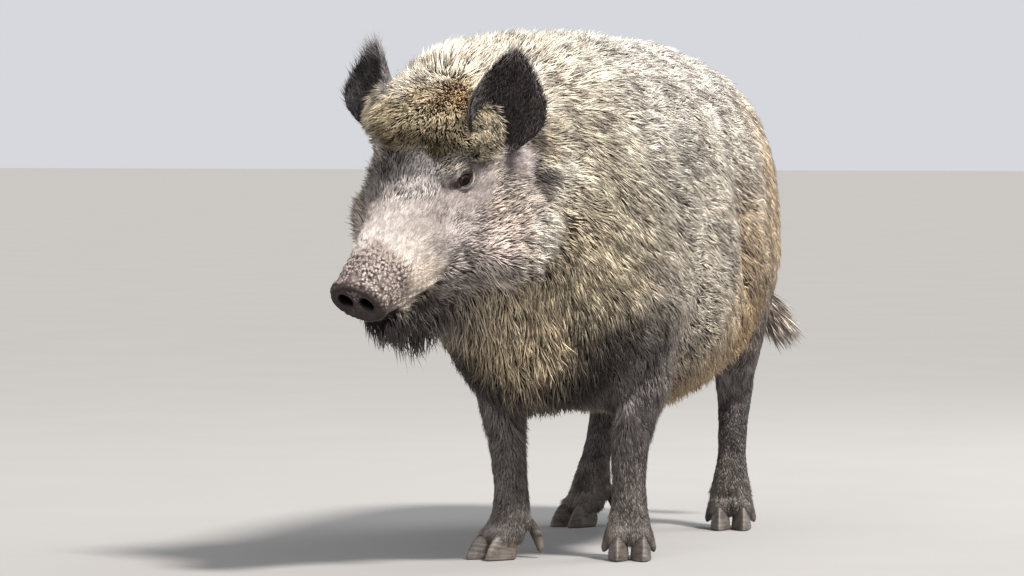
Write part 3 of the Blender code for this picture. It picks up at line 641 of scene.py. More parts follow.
def mouth_line(local):
    """Height above the mouth's line, which falls evenly behind its start."""
    return (local[:, 2] - MOUTH_START[1]) + math.tan(math.radians(MOUTH_SLOPE)) * (local[:, 0] - MOUTH_START[0])


def sculpt_muzzle(local, normal):
    """The disc with its nostrils and rim, the wrinkles over the nose, the mouth's line and the crust."""
    behind, across, up = local.T
    ring = np.hypot(across / DISC_HALF_WIDTH, up / DISC_HALF_HEIGHT)
    front = ramp(behind, 0.022, 0.010)
    face = -0.0018 * hump(ring, 0.90, 0.14) + 0.0022 * (1 - np.minimum(ring, 1) ** 2)
    inside = front * ramp(ring, 1.02, 0.86)
    pushed = behind * (1 - inside) + face * inside
    slant = 0.5
    for side in (1, -1):
        du, dv = (across - side * NOSTRIL[0]) / 0.0118, (up - NOSTRIL[1]) / 0.0122
        wide = du * math.cos(slant) - side * dv * math.sin(slant)
        high = side * du * math.sin(slant) + dv * math.cos(slant)
        hole = np.hypot(wide, high * 0.92)
        pushed += front * (0.026 * ramp(hole, 1.00, 0.62) - 0.0016 * hump(hole, 1.14, 0.17))
    pushed += front * 0.0018 * hump(across, 0, 0.0022) * ramp(up, 0.004, -0.012)
    out = 0.0022 * hump(behind, 0.006, 0.006) - 0.0030 * hump(behind, 0.021, 0.0055)
    wrinkles = np.sin(behind * 2 * math.pi / 0.0105 + 1.2 * waves(local, 0.03, 5))
    out += 0.0009 * wrinkles * hump(behind, 0.048, 0.022) * ramp(up, -0.03, 0.02)
    _, near, dice = clumps(local, 0.0052, 7)
    _, speck, grit = clumps(local, 0.0027, 8)
    grains = (0.5 - near) * (0.3 + 0.9 * dice[:, 0]) + 0.45 * (0.5 - speck) * (grit[:, 1] > 0.4)
    crust = ramp(behind, 0.088, 0.045) * ramp(up, -0.020, 0.012)
    out += 0.0020 * grains * crust * (behind > 0.004)
    out += 0.0006 * waves(local, 0.012, 9) * ramp(behind, 0.100, 0.080)
    line = mouth_line(local)
    lips = ramp(behind, 0.022, 0.034) * ramp(behind, 0.178, 0.158)
    out += lips * (-0.0052 * hump(line, 0, 0.0022) + 0.0016 * hump(line, 0.0065, 0.0045))
    out += 0.0008 * hump(line, -0.006, 0.004) * lips
    return np.stack([pushed, across, up], 1) + normal * (out * (behind < 0.20) * (ring > 0.9))[:, None]


def sculpt_face(local, normal):
    """Long low folds: from the eye's front corner down the cheek, and the ridge of the cheekbone."""
    behind, across, up = local.T
    side = np.abs(across)
    out = -0.0030 * hump(up - 0.020 - 0.55 * (behind - 0.16), 0, 0.010) * hump(behind, 0.185, 0.035) * (side > 0.03)
    out += 0.0030 * hump(up - 0.010, 0, 0.012) * hump(behind, 0.225, 0.030) * (side > 0.05)
    out += 0.0012 * waves(local, 0.045, 15) * ramp(behind, 0.10, 0.16)
    return local + normal * out[:, None]


def ear_grid(name, rings=34, sides=44):
    """Rings carried from the ear's root to its tip: a rolled leaf whose wall thins to its rim and tip.

    Along it the half-width swells like a sine and closes like a root; each ring runs over the inner face and
    back over the outer one, and low folds run down the inner face.
    """
    side = SIDES[name]
    length, half_width, point, facing = EARS[name]
    point, facing = unit(on_side(point, side)), on_side(facing, side)
    facing = unit(facing - facing.dot(point) * point)
    axes = np.stack([facing, np.cross(point, facing), point])
    t = 1 - (1 - np.linspace(0, 1, rings)) ** 1.5
    t = np.concatenate([[-0.16, -0.08], t])[:, None]
    angle = circle(sides)[None]
    v, over = np.cos(angle) + 0 * t, np.sin(angle) + 0 * t
    along = np.clip(t, 0, 1)
    half = half_width * (0.60 + 0.50 * np.sin(math.pi * np.minimum(along / 0.96, 1)))
    half = half * np.sqrt(np.maximum(1.0005 - along**2.8, 0)) * 0.97 * (1 + 2.2 * np.minimum(t, 0))
    curl = np.radians(96 - 55 * along)
    wall = (0.0072 - 0.0046 * along) * (1 - 0.72 * v**4)
    folds = 0.0030 * np.cos(v * 9.5 + 0.6) * (1 - v * v) * (1 - along) * hump(v, 0.55, 0.5) * (over > 0)
    lean = over * wall / 2 + folds
    ahead = half / curl * (1 - np.cos(curl * v)) - 0.012 + lean * np.cos(curl * v)
    sideways = half / curl * np.sin(curl * v) - lean * np.sin(curl * v)
    crinkle = 0.0012 * np.sin(9 * along + 3 * v) * np.abs(v)
    local = np.stack([ahead + crinkle, sideways, length * t + 0 * v], -1) @ axes
    return from_head(local + on_side(EAR_PLACE, side)), from_head(point) - from_head((0, 0, 0)), facing @ HEAD


def rings_about(path, across, ahead, radius, count):
    """Rings of points about each place of a path, in the plane of its two side directions."""
    angle = circle(count)[None, :, None]
    return path[:, None] + radius * (np.cos(angle) * across[:, None] + np.sin(angle) * ahead[:, None])


def tail_path():
    """The tail's core: its places, its radii and the way it runs."""
    rows = smooth_rows(TAIL, 5)
    path = rows[:, :3] + SHIFT
    return path, rows[:, 3], unit(np.gradient(path, axis=0))


def tail_grid():
    """Round rings carried down the tail's path."""
    path, radii, along = tail_path()
    across = unit(np.cross(along, (0.3, 1, 0.1)))
    return rings_about(path, across, np.cross(along, across), radii[:, None, None], 14)


def smooth_rows(rows, steps):
    """Rows of numbers joined by a Catmull-Rom curve, with this many steps in each span."""
    rows = np.array(rows, float)
    padded = np.vstack([2 * rows[0] - rows[1], rows, 2 * rows[-1] - rows[-2]])
    t = (np.arange(steps) / steps)[None, :, None]
    before, start, end, after = (padded[k:len(padded) - 3 + k][:, None] for k in range(4))
    bend, twist = 2 * before - 5 * start + 4 * end - after, 3 * start - before - 3 * end + after
    out = start + t * (end - before) / 2 + t * t * bend / 2 + t**3 * twist / 2
    return np.vstack([out.reshape(-1, rows.shape[1]), rows[-1]])


def make_skin():
    """The whole skin in one object, and its parts: the sculpted body, each ear with its axes, and the tail."""
    thing = fused_flesh()
    for muzzle, socket in ((0.108, 0.038), (0.012, 0.024)):
        local = to_head(points_of(thing.data))
        eyes = np.minimum(*[np.linalg.norm(local - on_side(EYE_PLACE, side), axis=1) for side in (1, -1)])
        refined(thing.data, (local[:, 0] < muzzle) | (eyes < socket))
        local = to_head(points_of(thing.data))
        softened(thing, local[:, 0] < 0.30, 3)
    mesh = thing.data
    local, normal = to_head(points_of(mesh)), normals_of(mesh) @ HEAD.T
    on_head = (local[:, 0] < 0.34) & (np.abs(local[:, 1]) < 0.17) & (np.abs(local[:, 2]) < 0.22)
    moved = sculpt_face(local, normal)
    moved = sculpt_muzzle(moved, normal)
    for side in (1, -1):
        moved = sculpt_eye(moved, side)
    put_points(mesh, from_head(np.where(on_head[:, None], moved, local)))
    shape = bmesh.new()
    shape.from_mesh(mesh)
    extra = {}
    for name in SIDES:
        grid, point, facing = ear_grid(name)
        ear = grid_mesh(name + "_ear_leaf", grid)
        extra[name] = (ear, point, facing)
        shape.from_mesh(ear)
    tail = grid_mesh("tail_core", tail_grid())
    shape.from_mesh(tail)
    whole = bpy.data.meshes.new("skin")
    shape.to_mesh(whole)
    shape.free()
    whole.polygons.foreach_set("use_smooth", np.ones(len(whole.polygons), bool))
    body = mesh.copy()
    thing.data = whole
    return thing, body, extra, tail


# ---------------------------------------------------------------- coat


def triangles_of(mesh):
    mesh.calc_loop_triangles()
    out = np.empty(len(mesh.loop_triangles) * 3, np.int32)
    mesh.loop_triangles.foreach_get("vertices", out)
    return out.reshape(-1, 3)


def strewn(points, normals, triangles, density, count, seed, values):
    """Roots spread over the triangles by area and density, with normals and other values mixed in from the corners."""
    rng = np.random.default_rng(seed)
    a, b, c = (points[triangles[:, k]] for k in range(3))
    weight = np.linalg.norm(np.cross(b - a, c - a), axis=1) / 2 * density[triangles].mean(1)
    total = np.cumsum(weight)
    at = (np.arange(count) + rng.random(count)) / count * total[-1]
    chosen = np.minimum(np.searchsorted(total, at), len(triangles) - 1)
    r1, r2 = np.sqrt(rng.random(count)), rng.random(count)
    parts = np.stack([1 - r1, r1 * (1 - r2), r1 * r2], 1)
    corners = triangles[chosen]

    def mixed(value):
        return np.einsum("nk,nk...->n...", parts, value[corners])

    return mixed(points), unit(mixed(normals)), {name: mixed(value) for name, value in values.items()}


SPIKE = {  # rings of three points between root and tip: height up the tuft and share of the width
    "short": ((0.0, 1.0),),
    "bent": ((0.44, 1.0),),
    "long": ((0.32, 1.0), (0.66, 0.78)),
}


def spike_faces(heights):
    """Corner numbers, face sizes and each corner's place in the tuft's patch, for one closed three-sided spike.

    Point 0 is the tip, point 1 the root where the first ring is above it, then the rings follow.
    """
    pointed = heights[0] > 0
    first = 2 if pointed else 1
    corners, sizes, patch = [], [], []
    for k in range(3):
        j, low = (k + 1) % 3, heights[0]
        if pointed:
            corners += [first + j, first + k, 1]
            patch += [((k + 1) / 3, low), (k / 3, low), ((k + 0.5) / 3, 0)]
            sizes.append(3)
        for ring, (low, high) in enumerate(zip(heights, heights[1:])):
            base = first + 3 * ring
            corners += [base + k, base + j, base + 3 + j, base + 3 + k]
            patch += [(k / 3, low), ((k + 1) / 3, low), ((k + 1) / 3, high), (k / 3, high)]
            sizes.append(4)
        base = first + 3 * (len(heights) - 1)
        corners += [base + k, base + j, 0]
        patch += [(k / 3, heights[-1]), ((k + 1) / 3, heights[-1]), ((k + 0.5) / 3, 1)]
        sizes.append(3)
    if not pointed:
        corners += [first + 2, first + 1, first]
        patch += [(1, 0.12), (0.5, 0.12), (0, 0)]
        sizes.append(3)
    return np.array(corners), np.array(sizes), np.array(patch)


def brindle(points):
    """Streaks drawn out along the body, from -1 to 1: waves over places squeezed along the coat's run."""
    way = unit(np.array((0, 0.93, -0.37)))
    squeezed = points - 0.60 * (points @ way)[:, None] * way
    return np.clip(0.75 * waves(squeezed, 0.020, 71, 9) + 0.45 * waves(squeezed, 0.055, 72, 9), -1, 1)


def combed(roots, normals, field, seed, swirl=0.35):
    """The lie at each root: the patches' direction laid on the skin, turned by slow waves and a little chance."""
    rng = np.random.default_rng(seed)
    lie = unit(field["lie"] - (field["lie"] * normals).sum(1, keepdims=True) * normals)
    across = np.cross(normals, lie)
    turn = swirl * waves(roots, 0.16, 21) * 0.5 + swirl * waves(roots, 0.06, 22) * 0.45
    turn = turn + rng.normal(0, 0.15, len(roots))
    return unit(lie * np.cos(turn)[:, None] + across * np.sin(turn)[:, None])


def tuft_colours(roots, field, locks, heights, at_root, rng):
    """A colour for each point of each tuft: from the root's to the tip's, paler or darker by tuft, lock and streak.

    A share of the tufts stays dark to the tip, more of them in dark streaks and round the eyes.
    """
    count = len(roots)
    behind = to_head(roots)[:, 0]
    streak = brindle(roots) * (0.25 + 0.75 * ramp(behind, 0.14, 0.30))
    shade = rng.uniform(0.78, 1.22, count) * (0.78 + 0.44 * locks) * (1 + 0.22 * streak)
    pale = np.clip(rng.normal(0.95, 0.14, count) + 0.14 * streak, 0.10, 1.12)
    dark = 0.17 - 0.20 * streak + 0.06 * np.clip(waves(roots, 0.11, 61), -1, 1)
    dark = dark + 0.12 * hump(behind, 0.21, 0.07)
    pale = np.where(rng.random(count) < dark, 0.12 + 0.22 * rng.random(count), pale)
    toward = np.interp(heights, (0.0, 0.12, 0.44, 0.70, 1.0), (at_root, 0.08, 0.68, 1.0, 1.0))
    toward = toward[None, :, None] * pale[:, None, None]
    colour = (field["root"][:, None] * (1 - toward) + field["tip"][:, None] * toward) * shade[:, None, None]
    return np.clip(colour, 0, 1).reshape(-1, 3)


def tuft_maps(mesh, where, patch, rng):
    """Two maps: each tuft's small patch at its root's place on the unwrap, and its strands at a random place."""
    where = 0.02 + 0.955 * (where - where.min(0)) / np.maximum(np.ptp(where, axis=0), 1e-6)
    bake = mesh.uv_layers.new(name="OFBake")
    bake.data.foreach_set("uv", (where[:, None] + 0.003 * patch).astype(np.float32).ravel())
    strand = mesh.uv_layers.new(name="strand")
    offset = rng.random((len(where), 1, 2)) * (7, 3)
    strand.data.foreach_set("uv", (patch[None] + offset).astype(np.float32).ravel())
    bake.active = True


def tufted(name, roots, normals, field, kind, seed, place, finish, gather=(0.016, 0.55), sink=0.0012,
           ragged=(0.72, 1.22)):
    """A coat piece: one closed spike for each root.

    Each spike leaves the skin at its lift, bends over along the lie, and its tip is drawn sideways towards the
    middle of its clump, so that the hair stands in locks; gather is the clumps' size and the pull's strength.
    """
    rng = np.random.default_rng(seed)
    count = len(roots)
    lie = combed(roots, normals, field, seed)
    across = np.cross(normals, lie)
    lock, _, dice = clumps(roots, gather[0], seed % 7 + 3)
    tress, _, tress_dice = clumps(roots, gather[0] * 2.6, seed % 7 + 53)
    length = field["length"] * rng.uniform(*ragged, count) * (0.88 + 0.24 * dice[:, 0])
    width = field["width"] * rng.uniform(0.75, 1.25, count)
    lift = field["lift"] * rng.uniform(0.60, 1.30, count) * (0.72 + 0.50 * dice[:, 1]) * (
        0.78 + 0.44 * tress_dice[:, 1])
    outwards = np.clip((unit(field["lie"]) * normals).sum(1), 0, 0.92)
    lift = np.minimum(np.maximum(lift, 0.85 * np.arcsin(outwards) + 0.5 * lift), 1.25)
    pull = ((lock - roots) * across).sum(1) * gather[1] + ((tress - roots) * across).sum(1) * 0.25 * gather[1]
    pull = np.clip(pull, -0.45 * length, 0.45 * length)
    rings = SPIKE[kind]
    pointed = rings[0][0] > 0
    heights = [1.0] + [0.0] * pointed + [t for t, _ in rings for _ in range(3)]
    made = np.empty((count, len(heights), 3))
    droop = 0.22 + 0.33 * rng.random(count)

    def spine(t):
        """The tuft's middle line: it rises at the lift and falls back by the square of the way along."""
        rise = np.sin(lift) * t - droop * np.sin(lift) * t * t
        return (roots - normals * sink + lie * (length * np.cos(lift) * t)[:, None]
                + normals * (length * rise)[:, None] + across * (pull * t * t)[:, None])

    twist = rng.uniform(-0.6, 0.6, count)
    side = across * np.cos(twist)[:, None] + normals * np.sin(twist)[:, None]
    top = normals * np.cos(twist)[:, None] - across * np.sin(twist)[:, None]
    made[:, 0], made[:, 1] = spine(1.0), spine(0.0)
    for ring, (t, share) in enumerate(rings):
        for k, (s, h) in enumerate(((-1.0, -0.25), (1.0, -0.25), (0.0, 0.75))):
            made[:, 1 + pointed + 3 * ring + k] = spine(t) + side * (s * share * width)[:, None] + top * (
                h * share * width)[:, None]
    corners, sizes, patch = spike_faces([t for t, _ in rings])
    first = np.arange(count)[:, None] * len(heights)
    mesh = mesh_of(name, made.reshape(-1, 3), (first + corners).ravel(), np.tile(sizes, count))
    at_root = 0.0 if pointed else 0.28
    put_colour(mesh, "coat_colour", tuft_colours(roots, field, dice[:, 2], heights, at_root, rng))
    tuft_maps(mesh, place(roots), patch, rng)
    piece = object_of(name, mesh)
    mesh.materials.append(finish)
    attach(piece, "root")


def wound(axis_point, axis_way, up_way):
    """Unwraps round an axis: the angle about it and the way along it."""
    axis_way = unit(np.array(axis_way, float))
    up = unit(np.array(up_way, float) - np.dot(up_way, axis_way) * axis_way)
    over = np.cross(axis_way, up)

    def place(points):
        offset = points - axis_point
        return np.stack([np.arctan2(offset @ over, offset @ up), offset @ axis_way * 4], 1)

    return place


def picked(roots, normals, field, chosen):
    """The chosen roots with their normals and coat numbers."""
    return roots[chosen], normals[chosen], {name: value[chosen] for name, value in field.items()}


def coat_cover(points, local, field):
    """The patches' cover, cleared off the eyes, the disc and the hooves, and thinned along the mouth's line."""
    cover = field["cover"].copy()
    behind, across, _ = local.T
    for side in (1, -1):
        u, v, w = at_eye(local, side).T
        opening = (np.hypot(u, v) < 0.03) & (w > -0.012)
        cover = np.where(opening, cover * ramp(eye_share(u, v), 1.15, 1.55), cover)
    cover *= 1 - ramp(behind, 0.030, 0.012) * (np.abs(across) < 0.08)
    cover *= 1 - 0.9 * hump(mouth_line(local), 0.001, 0.006) * ramp(behind, 0.17, 0.15) * (np.abs(across) < 0.1)
    return cover * ramp(points[:, 2], 0.018, 0.026)


def make_coat(mesh, finish):
    """All tufts that grow on the body's skin, in pieces by region."""
    points, normals, triangles = points_of(mesh), normals_of(mesh), triangles_of(mesh)
    field = coat_at(points)
    cover = coat_cover(points, to_head(points), field)
    legs = (points[:, 2] < 0.27) & (field["length"] < 0.030)
    long = ramp(field["length"], 0.0125, 0.0150) * ~legs
    crowd = (0.040 / field["length"]) ** 1.35
    body = strewn(points, normals, triangles, cover * long * crowd, TUFTS["body"], 1, field)
    face = strewn(points, normals, triangles, cover * (1 - long) * ~legs, TUFTS["face"], 2, field)
    shanks = strewn(points, normals, triangles, cover * legs, TUFTS["shanks"], 3, field)
    spine = wound(np.array((SHIFT[0], 0, 0.52)), (0, 1, 0), (0, 0, -1))
    skull = wound(NOSE, HEAD[0], -HEAD[2])
    y, left = body[0][:, 1], body[0][:, 0] > SHIFT[0]
    behind, aside, above = to_head(body[0]).T
    beard = (behind < 0.235) & (above < -0.075)
    crest = ~beard & (behind < 0.34) & (above > 0.090)
    cheeks = ~beard & ~crest & (behind < 0.33)
    rest = ~beard & ~crest & ~cheeks
    cuts = [-9, *np.quantile(y[rest], (0.34, 0.67)), 9]
    tufted("coat_beard", *picked(*body, beard), "long", 11, skull, finish["coat"], (0.019, 0.7), ragged=(0.42, 1.34))
    tufted("coat_forelock", *picked(*body, crest), "bent", 12, skull, finish["coat"], (0.014, 0.45))
    for name, half in (("left", aside > 0), ("right", aside <= 0)):
        tufted(f"coat_cheek_{name}", *picked(*body, cheeks & half), "bent", 14, skull, finish["face"],
               (0.008, 0.5), 0.0008)
    for part, (start, end) in zip(("fore", "middle", "hind"), zip(cuts, cuts[1:])):
        for name, half in (("left", left), ("right", ~left)):
            chosen = rest & half & (y >= start) & (y < end)
            tufted(f"coat_{part}_{name}", *picked(*body, chosen), "bent", 13, spine, finish["coat"])
    side = to_head(face[0])[:, 1] > 0
    for name, half in (("left", side), ("right", ~side)):
        tufted(f"coat_face_{name}", *picked(*face, half), "short", 21, skull, finish["face"], (0.007, 0.5), 0.0005)
    for name, half, middle in (("fore", shanks[0][:, 1] < 0.1, -0.2), ("hind", shanks[0][:, 1] >= 0.1, 0.45)):
        stand = wound(np.array((SHIFT[0], middle, 0)), (0, 0, 1), (0, 1, 0))
        tufted(f"coat_shanks_{name}", *picked(*shanks, half), "short", 31, stand, finish["shank"],
               (0.008, 0.5), 0.0005)


def even_field(count, lie, length, width, lift, root, tip):
    """The same coat everywhere, for the ears and the tail."""
    return {"length": np.full(count, length), "width": np.full(count, width),
            "lift": np.full(count, math.radians(lift)), "cover": np.ones(count), "depth": np.zeros(count),
            "root": np.tile(root, (count, 1)).astype(float), "tip": np.tile(tip, (count, 1)).astype(float),
            "lie": np.tile(lie, (count, 1)).astype(float)}


def make_ear_coat(extra, finish):
    """Short dark hair over the backs of the ears, sparse inside, greyer on the rims and longest at the tips."""
    for name, (ear, point, facing) in extra.items():
        points, normals, triangles = points_of(ear), normals_of(ear), triangles_of(ear)
        root = from_head(on_side(EAR_PLACE, SIDES[name]))
        length = EARS[name][0]
        t = (points - root) @ unit(point) / length
        inner = (normals @ unit(facing)) > 0.15
        axis = root + np.clip(t, 0, 1)[:, None] * length * unit(point)
        spread = np.linalg.norm(points - axis, axis=1)
        rim = np.clip(ramp(spread, 0.030, 0.045) * 0.5 + ramp(t, 0.75, 0.95), 0, 1)
        grey, ragged_tip = ((0.27, 0.25, 0.265), 1.0) if name == "right" else ((0.13, 0.115, 0.11), 0.35)
        field = even_field(len(points), unit(point), 0.011, 0.0007, 20, (0.010, 0.008, 0.008), (0.042, 0.035, 0.035))
        tuft = ramp(t, 0.62, 0.95) * ragged_tip
        field["length"] = 0.010 + 0.008 * rim + 0.006 * inner + 0.012 * tuft
        field["tip"] = tinted(field["tip"], grey, rim)
        field["lift"] = field["lift"] + 0.25 * rim + 0.2 * inner
        cover = np.where(inner, 0.30, 1.0) * ramp(t, -0.05, 0.02)
        grown = strewn(points, normals, triangles, cover, TUFTS["ear"], 41, field)
        around = wound(root, point, facing)
        tufted(f"coat_ear_{name}", *grown, "short", 42, around, finish["shank"], (0.006, 0.3), 0.0004)


def make_tail_coat(tail, finish):
    """Short hair down the tail and a loose tassel at its end."""
    points, normals, triangles = points_of(tail), normals_of(tail), triangles_of(tail)
    path, _, along = tail_path()
    nearest = np.linalg.norm(points[:, None] - path[None], axis=2).argmin(1)
    share = nearest / (len(path) - 1)
    field = even_field(len(points), (0, 0, -1), 0.02, 0.0011, 16, UMBER, SAND)
    field["lie"] = along[nearest]
    field["length"] = 0.024 + 0.052 * ramp(share, 0.55, 0.9)
    field["lift"] = np.radians(16 + 12 * ramp(share, 0.6, 1.0))
    field["tip"] = tinted(field["tip"], (0.36, 0.31, 0.28), share)
    cover = 0.5 + 2.5 * ramp(share, 0.5, 0.8)
    grown = strewn(points, normals, triangles, cover, TUFTS["tail"], 51, field)
    around = wound(path[0], path[-1] - path[0], (0, 1, 0))
    tufted("coat_tail", *grown, "long", 52, around, finish["coat"], (0.010, 0.35), 0.0006)


# ---------------------------------------------------------------- eyes, lids and horn


def make_eye(name, side, finish):
    """An eyeball: rings from pole to pole about its axis, with the clear front bulging by a bell curve."""
    axes = eye_axes(side) @ HEAD
    angle = np.linspace(0, math.pi, 40)[:, None]
    around = circle(48)
    radius = EYE_RADIUS + 0.0012 * np.exp(-((angle / 0.52) ** 4))
    flat = radius * np.sin(angle)
    local = np.stack([flat * np.cos(around), flat * np.sin(around), radius * np.cos(angle) + 0 * around], -1)
    middle = centre_of(name + "_eye")
    mesh = grid_mesh(name + "_eyeball", middle + local @ axes, capped=False)
    points = points_of(mesh)
    out = unit(points - middle) @ axes.T
    put_number(mesh, "off_axis", np.degrees(np.arccos(np.clip(out[:, 2], -1, 1))))
    piece = object_of(name + "_eyeball", mesh)
    mesh.materials.append(finish["eye"])
    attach(piece, "root")
    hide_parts(name + "_eye")


def make_lid_rim(name, side, finish):
    """The wet dark margin of both lids: a thin round cord carried along the almond on the eyeball."""
    axes = eye_axes(side) @ HEAD
    steps, sides = 72, 10
    angle = circle(steps)
    u, v = np.cos(angle), np.sin(angle)
    share = eye_share(u * 0.01, v * 0.01)
    u, v = u * 0.01 / share, v * 0.01 / share
    deep = np.sqrt(np.maximum((EYE_RADIUS + 0.0012) ** 2 - u * u - v * v, 1e-8))
    path = np.stack([u, v, np.maximum(deep, 0.0032)], 1)
    along = unit(np.roll(path, -1, 0) - np.roll(path, 1, 0))
    out = unit(path)
    tube = rings_about(path, out, np.cross(along, out), RIM_RADIUS, sides)
    i, j = np.meshgrid(np.arange(steps), np.arange(sides), indexing="ij")
    a, b = (i + 1) % steps, (j + 1) % sides
    quads = np.stack([i * sides + j, a * sides + j, a * sides + b, i * sides + b], -1).reshape(-1)
    points = centre_of(name + "_eye") + tube.reshape(-1, 3) @ axes
    mesh = mesh_of(name + "_lid_rim", points, quads, np.full(steps * sides, 4))
    outward(mesh)
    piece = object_of(name + "_lid_rim", mesh)
    mesh.materials.append(finish["lid"])
    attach(piece, "root")


def foot_frame(foot):
    """The foot's origin under its fetlock, and rows: outwards across the foot, back along it, up."""
    (x, y), step_x, step_y, turn, side = FEET[foot]
    share = 1 - FETLOCK_HEIGHT / STEP_TOP
    origin = np.array((side * x + share * step_x, y + share * step_y, 0)) + SHIFT * (1, 1, 0)
    return origin, turned("z", side * turn).T


HOOF = (  # from the sole up: the ring's middle ahead of the foot's origin, half-length, half-width, height, slope
    (0.046, 0.0300, 0.0125, 0.000, 0.00), (0.046, 0.0325, 0.0150, 0.002, 0.00), (0.044, 0.0320, 0.0152, 0.008, 0.06),
    (0.038, 0.0280, 0.0142, 0.019, 0.25), (0.032, 0.0215, 0.0118, 0.029, 0.38), (0.028, 0.0120, 0.0062, 0.034, 0.32),
)


def make_hoof(foot, label, inner, finish):
    """A toe's horn: almond rings from the flat sole to the sloping coronet, with low growth ridges."""
    origin, axes = foot_frame(foot)
    rows = smooth_rows(HOOF, 9)
    ahead, half_length, half_width, height, slope = (rows[:, k][:, None] for k in range(5))
    angle = circle(48)[None]
    ridges = 1 + 0.012 * np.sin(height * 2 * math.pi / 0.0055) * ramp(height, 0.002, 0.008)
    worn = 1 - 0.010 * np.sin(5 * angle + inner) * ramp(height, 0.012, 0.0)
    reach = half_length * np.cos(angle) * ridges * worn
    out = half_width * np.sin(angle) * (1 - 0.42 * np.cos(angle)) * ridges * worn
    out = out + inner * 0.0030 * ramp(reach, 0, 0.03)
    local = np.stack([inner * 0.0175 + out, -ahead - reach, height + slope * reach], -1)
    local[..., 2] = np.maximum(local[..., 2], 0)
    local[0, :, 2] = 0
    horn_piece(f"{foot}_hoof_{label}", origin + local @ axes, finish)


def make_dewclaw(foot, label, inner, finish):
    """A small blunt horn behind the fetlock: rings carried from its root down to its tip."""
    origin, axes = foot_frame(foot)
    root, tip = np.array((inner * 0.020, 0.014, 0.062)), np.array((inner * 0.040, 0.026, 0.008))
    t = np.linspace(0, 1, 16)[:, None]
    radius = np.interp(t, (0, 0.5, 0.85, 0.95, 1), (0.0090, 0.0092, 0.0066, 0.0044, 0.0016))
    radius = radius * (1 + 0.03 * np.sin(t * 30))
    middle = root + (tip - root) * t
    middle[:, 1] += 0.006 * np.sin(math.pi * t[:, 0])
    along = unit(tip - root)
    across = unit(np.cross(along, (0, 1, 0)))
    ahead = np.cross(along, across)
    angle = circle(20)
    ring = np.cos(angle)[:, None] * across + 0.8 * np.sin(angle)[:, None] * ahead
    horn_piece(f"{foot}_dewclaw_{label}", origin + (middle[:, None] + radius[..., None] * ring) @ axes, finish)


def horn_piece(node, grid, finish):
    """A horn from rings of points, with its sharp edges rounded off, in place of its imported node."""
    piece = object_of(node + "_horn", grid_mesh(node + "_horn", grid))
    piece.data.materials.append(finish["horn"])
    edges = piece.modifiers.new("edges", "BEVEL")
    edges.width, edges.segments = 0.0008, 2
    edges.limit_method, edges.angle_limit = "ANGLE", math.radians(50)
    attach(piece, "root")
    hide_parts(node)


# ---------------------------------------------------------------- materials


class Nodes:
    """Short calls for building one node tree."""

    def __init__(self, tree):
        self.tree = tree

    def add(self, kind, **values):
        node = self.tree.nodes.new("ShaderNode" + kind)
        for name, value in values.items():
            setattr(node, name, value)
        return node

    def feed(self, node, **inputs):
        """Links or sets inputs by name, or by number where the name is i0, i1 and so on."""
        for name, value in inputs.items():
            numbered = name[0] == "i" and name[1:].isdigit()
            socket = node.inputs[int(name[1:]) if numbered else name.replace("_", " ")]
            if isinstance(value, bpy.types.NodeSocket):
                self.tree.links.new(value, socket)
            else:
                socket.default_value = value
        return node

    def maths(self, operation, a, b=0.5, c=None, clamp=False):
        node = self.feed(self.add("Math", operation=operation, use_clamp=clamp), i0=a, i1=b)
        return (self.feed(node, i2=c) if c is not None else node).outputs[0]

    def mix(self, share, a, b, blend="MIX"):
        node = self.add("Mix", data_type="RGBA", blend_type=blend)
        self.feed(node, i0=share, i6=a, i7=b)
        return node.outputs[2]

    def noise(self, where, scale, detail=3.0, rough=0.55):
        node = self.add("TexNoise")
        self.feed(node, Vector=where, Scale=scale, Detail=detail, Roughness=rough)
        return node.outputs["Fac"]

    def spread(self, value, low, high):
        return self.feed(self.add("MapRange", clamp=True), i0=value, i1=low, i2=high).outputs[0]

    def where(self):
        return self.add("TexCoord").outputs["Object"]

    def attribute(self, name, output="Fac"):
        return self.add("Attribute", attribute_name=name).outputs[output]

    def bump(self, strength, distance, height):
        return self.feed(self.add("Bump"), Strength=strength, Distance=distance, Height=height).outputs[0]

    def group(self, tree, **inputs):
        node = self.add("Group")
        node.node_tree = tree
        return self.feed(node, **inputs)


def new_group(name, inputs, outputs):
    """An empty node group with named sockets."""
    tree = bpy.data.node_groups.new(name, "ShaderNodeTree")
    for label, kind in inputs:
        tree.interface.new_socket(name=label, in_out="INPUT", socket_type="NodeSocket" + kind)
    for label, kind in outputs:
        tree.interface.new_socket(name=label, in_out="OUTPUT", socket_type="NodeSocket" + kind)
    return tree, Nodes(tree), tree.nodes.new("NodeGroupInput"), tree.nodes.new("NodeGroupOutput")


def streak_group():
    """Fine lines of lighter and darker hair along a tuft, from a map whose first axis runs across it."""
    tree, n, given, out = new_group("hair_streaks", [("Colour", "Color"), ("Where", "Vector"), ("Strength", "Float")],
                                    [("Colour", "Color"), ("Height", "Float")])
    stretch = n.feed(n.add("Mapping"), Vector=given.outputs["Where"], Scale=(9.0, 0.8, 1.0))
    lines = n.noise(stretch.outputs[0], 1.6, 2.0)
    level = n.maths("MULTIPLY_ADD", n.maths("SUBTRACT", lines, 0.5), given.outputs["Strength"], 1.0)
    bright = n.feed(n.add("HueSaturation"), Color=given.outputs["Colour"], Value=level)
    tree.links.new(bright.outputs[0], out.inputs["Colour"])
    tree.links.new(lines, out.inputs["Height"])
    return tree


